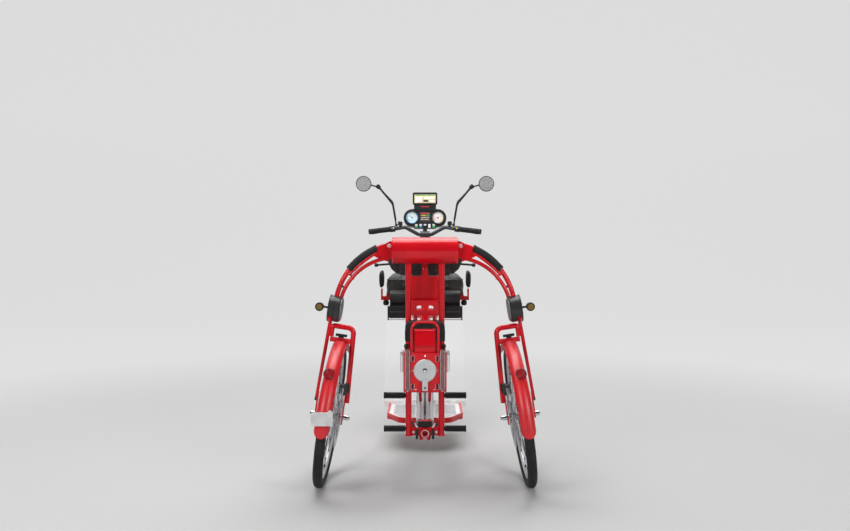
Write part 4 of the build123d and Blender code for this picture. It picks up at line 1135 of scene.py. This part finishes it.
class MakeBarTrim(bpy.types.Operator):
    """Reservoir lids, switch keys, mirror stalk sleeves and collars on the handlebar"""
    bl_idname = "velomobile.bar_trim"
    bl_label = "Handlebar trim"

    def execute(self, context):
        shape = Shape("plate_grey")
        for side in (-1, 1):
            tank = Matrix.Translation((side * 0.147, BAR_Y - 0.003, 1.248))
            shape.slab(tank, 0.024, 0.036, 0.002, 0.004, 0.0008)
            for y in (-0.012, 0.012):
                shape.button(shifted(tank, 0, y, 0.002), 0.002, 0.0014, "bright_steel")
            stalk = [Vector((side * x, BAR_Y - 0.016, z)) for x, z in STALK]
            shape.pipe(stalk, 0.0062, 12, "black_rubber")
            head = facing(stalk[-1], (side * 0.69, 0, 0.724), FORWARD)
            shape.turned(head, STALK_COLLAR, 24, "black_rubber")
            flip = Vector((side, 1, 1))
            along = (GRIP_OUT - GRIP_IN) * flip
            pod = GRIP_IN * flip + along * 0.16
            for k, tint in enumerate(("dial_yellow", "dial_blue")):
                at = pod + along.normalized() * (-0.005 + 0.010 * k) + Vector((0, -0.0172, 0.004))
                shape.slab(facing(at, (0, -1, 0.25)), 0.007, 0.009, 0.003, 0.002, 0.0008, tint, 3)
        shape.piece("bar_trim", "steering", "black_plastic")
        return {"FINISHED"}


# Nodes that take a finish other than their slot's
SPECIAL = {"turn_lenses": "amber_lens", "side_lenses": "side_lens", "headlamp_lens": "lamp_glass",
           "battery_fittings": "satin_steel", "rear_fender_left": "fender_paint",
           "rear_fender_right": "fender_paint", "front_fender": "fender_paint"}


class DressFrame(bpy.types.Operator):
    """Gives every CAD node its finish"""
    bl_idname = "velomobile.finishes"
    bl_label = "Finishes"

    def execute(self, context):
        for name, node in frame["nodes"].items():
            node.data.materials.clear()
            node.data.materials.append(finish(SPECIAL.get(name, SLOTS[name])))
        return {"FINISHED"}


# Stage light: glow of the near floor and of the backdrop, sky at the horizon and overhead, then each light's place,
# aim, width, height and power
FLOOR_GLOW, WALL_GLOW = 0.02, 0.695
SKY_LOW, SKY_HIGH = 0.08, 0.75
LIGHTS = (("key", (-3.4, -5.2, 2.9), (0.0, -0.7, 0.7), 2.2, 2.2, 138.0),
          ("fill", (3.6, -4.8, 2.5), (0.0, -0.7, 0.7), 2.2, 2.2, 128.0),
          ("top", (-0.25, 0.0, 3.9), (0.0, -0.5, 0.4), 5.0, 2.6, 200.0))

# Stage sizes: floor from front to back and its half width, the backdrop's curve and top, the round wall, and the
# camera's lens, sensor, distance behind the rear axle, height and downward tilt
FLOOR_START, FLOOR_END, FLOOR_HALF = -14.0, 5.0, 16.0
CURVE_R, CURVE_STEPS, BACKDROP_TOP = 3.0, 16, 14.0
WALL_R, WALL_SIDES, WALL_TOP = 13.0, 72, 16.0
LENS_MM, SENSOR_MM = 35.0, 36.0
EYE_BACK, EYE_Z, EYE_DIP = 3.797, 1.1261, 0.0285


def stage_object(shape, name, material):
    mesh = shape.mesh(name)
    mesh.materials.append(material)
    thing = added(name, mesh)
    return thing


class MakeStage(bpy.types.Operator):
    """Pale floor that curves up into a backdrop, soft lights and the camera"""
    bl_idname = "velomobile.stage"
    bl_label = "Stage"

    def floor(self):
        shape = Shape()
        bend = [math.pi / 2 * k / CURVE_STEPS for k in range(1, CURVE_STEPS + 1)]
        profile = [(FLOOR_START, 0.0), (FLOOR_END, 0.0)]
        profile += [(FLOOR_END + CURVE_R * math.sin(a), CURVE_R - CURVE_R * math.cos(a)) for a in bend]
        profile += [(FLOOR_END + CURVE_R, BACKDROP_TOP)]
        rows = [[shape.bm.verts.new((x, y, z)) for x in (-FLOOR_HALF, FLOOR_HALF)] for y, z in profile]
        for low, high in zip(rows, rows[1:]):
            shape.bm.faces.new((low[0], low[1], high[1], high[0]))
        look = Look("Studio floor", {"Roughness": 0.9, "Specular IOR Level": 0.1, "Emission Strength": 1.0})
        colour = looks().floor
        flat = look.add("ShaderNodeVectorMath", {"operation": "MULTIPLY_ADD"},
                        {0: look.place(), 1: (1, 1, 0), 2: (0, -REAR_Y, 0)})
        away = look.add("ShaderNodeVectorMath", {"operation": "LENGTH"}, {0: flat}, out=1)
        cast = look.blend(look.noise(0.7), shade(colour, 0.97), colour)
        look.give("Base Color", look.blend(look.fade(away, 0.7, 5.2), cast, shade(colour, 0.15)))
        look.give("Emission Color", look.blend(look.fade(away, 0.4, 5.1), grey(FLOOR_GLOW), grey(WALL_GLOW)))
        stage_object(shape, "studio_floor", look.material).data.shade_smooth()

    def surround(self):
        """A round wall for the views from other sides; it sends no light to the vehicle."""
        turns = [math.tau * k / WALL_SIDES for k in range(WALL_SIDES)]
        rings = [[(WALL_R * math.cos(a), WALL_R * math.sin(a), z) for a in turns] for z in (-0.01, WALL_TOP)]
        look = Look("Studio surround", {"Roughness": 1.0, "Specular IOR Level": 0.0, "Emission Strength": 1.0})
        look.give("Base Color", grey(0.05))
        look.give("Emission Color", look.blend(look.noise(0.5), grey(WALL_GLOW), grey(WALL_GLOW * 1.01)))
        wall = stage_object(Shape().skin(rings, caps=False), "studio_surround", look.material)
        wall.visible_diffuse = wall.visible_glossy = wall.visible_shadow = False

    def lights(self, scene):
        world = bpy.data.worlds.new("Studio")
        world.use_nodes = True
        sky = Nodes(world.node_tree)
        height = sky.add("ShaderNodeSeparateXYZ", None, {0: sky.add("ShaderNodeTexCoord")}, out=2)
        sky.feed(sky.tree.nodes["Background"].inputs["Strength"], sky.fade(height, 0.05, 0.85, SKY_LOW, SKY_HIGH))
        scene.world = world
        for name, at, aim, wide, high, power in LIGHTS:
            light = bpy.data.lights.new(name, "AREA")
            light.shape = "ELLIPSE"
            light.size, light.size_y = wide, high
            light.energy = power
            added(name, light).matrix_world = facing(at, Vector(at) - Vector(aim))

    def camera(self, scene):
        camera = bpy.data.cameras.new("photo_camera")
        camera.lens = LENS_MM
        camera.sensor_width = SENSOR_MM
        camera.sensor_fit = "HORIZONTAL"
        camera.clip_end = 100.0
        eye = added("photo_camera", camera)
        eye.location = (0.0, REAR_Y - EYE_BACK, EYE_Z)
        eye.rotation_euler = (math.pi / 2 - EYE_DIP, 0.0, 0.0)
        scene.camera = eye

    def execute(self, context):
        context.scene.view_settings.view_transform = "Standard"
        self.floor()
        self.surround()
        self.lights(context.scene)
        self.camera(context.scene)
        return {"FINISHED"}


STEPS = (MakeStage, DressFrame, MakeTyres, MakeWheelTrim, MakeSeatPads, MakeInstruments, MakeDisplay, MakeGrips,
         MakeBarTrim, MakeLamps, MakePlateTrim, MakeBoardMat, MakeBatteryTrim, MakeCaseTrim, MakeFrameBolts)


class VelomobilePanel(bpy.types.Panel):
    """Lists the steps and the values that can be changed"""
    bl_idname = "VIEW3D_PT_velomobile"
    bl_label = "Velomobile"
    bl_space_type = "VIEW_3D"
    bl_region_type = "UI"
    bl_category = "Velomobile"

    def draw(self, context):
        values = context.scene.velomobile_looks
        for name in values.__annotations__:
            self.layout.prop(values, name)
        for step in STEPS:
            self.layout.operator(step.bl_idname)


CLASSES = (VelomobileLooks,) + STEPS + (VelomobilePanel,)


def register():
    for entry in CLASSES:
        bpy.utils.register_class(entry)
    bpy.types.Scene.velomobile_looks = PointerProperty(type=VelomobileLooks)


def unregister():
    del bpy.types.Scene.velomobile_looks
    for entry in reversed(CLASSES):
        bpy.utils.unregister_class(entry)


def main():
    register()
    for step in STEPS:
        group, name = step.bl_idname.split(".")
        getattr(getattr(bpy.ops, group), name)()


if __name__ == "__main__":
    main()
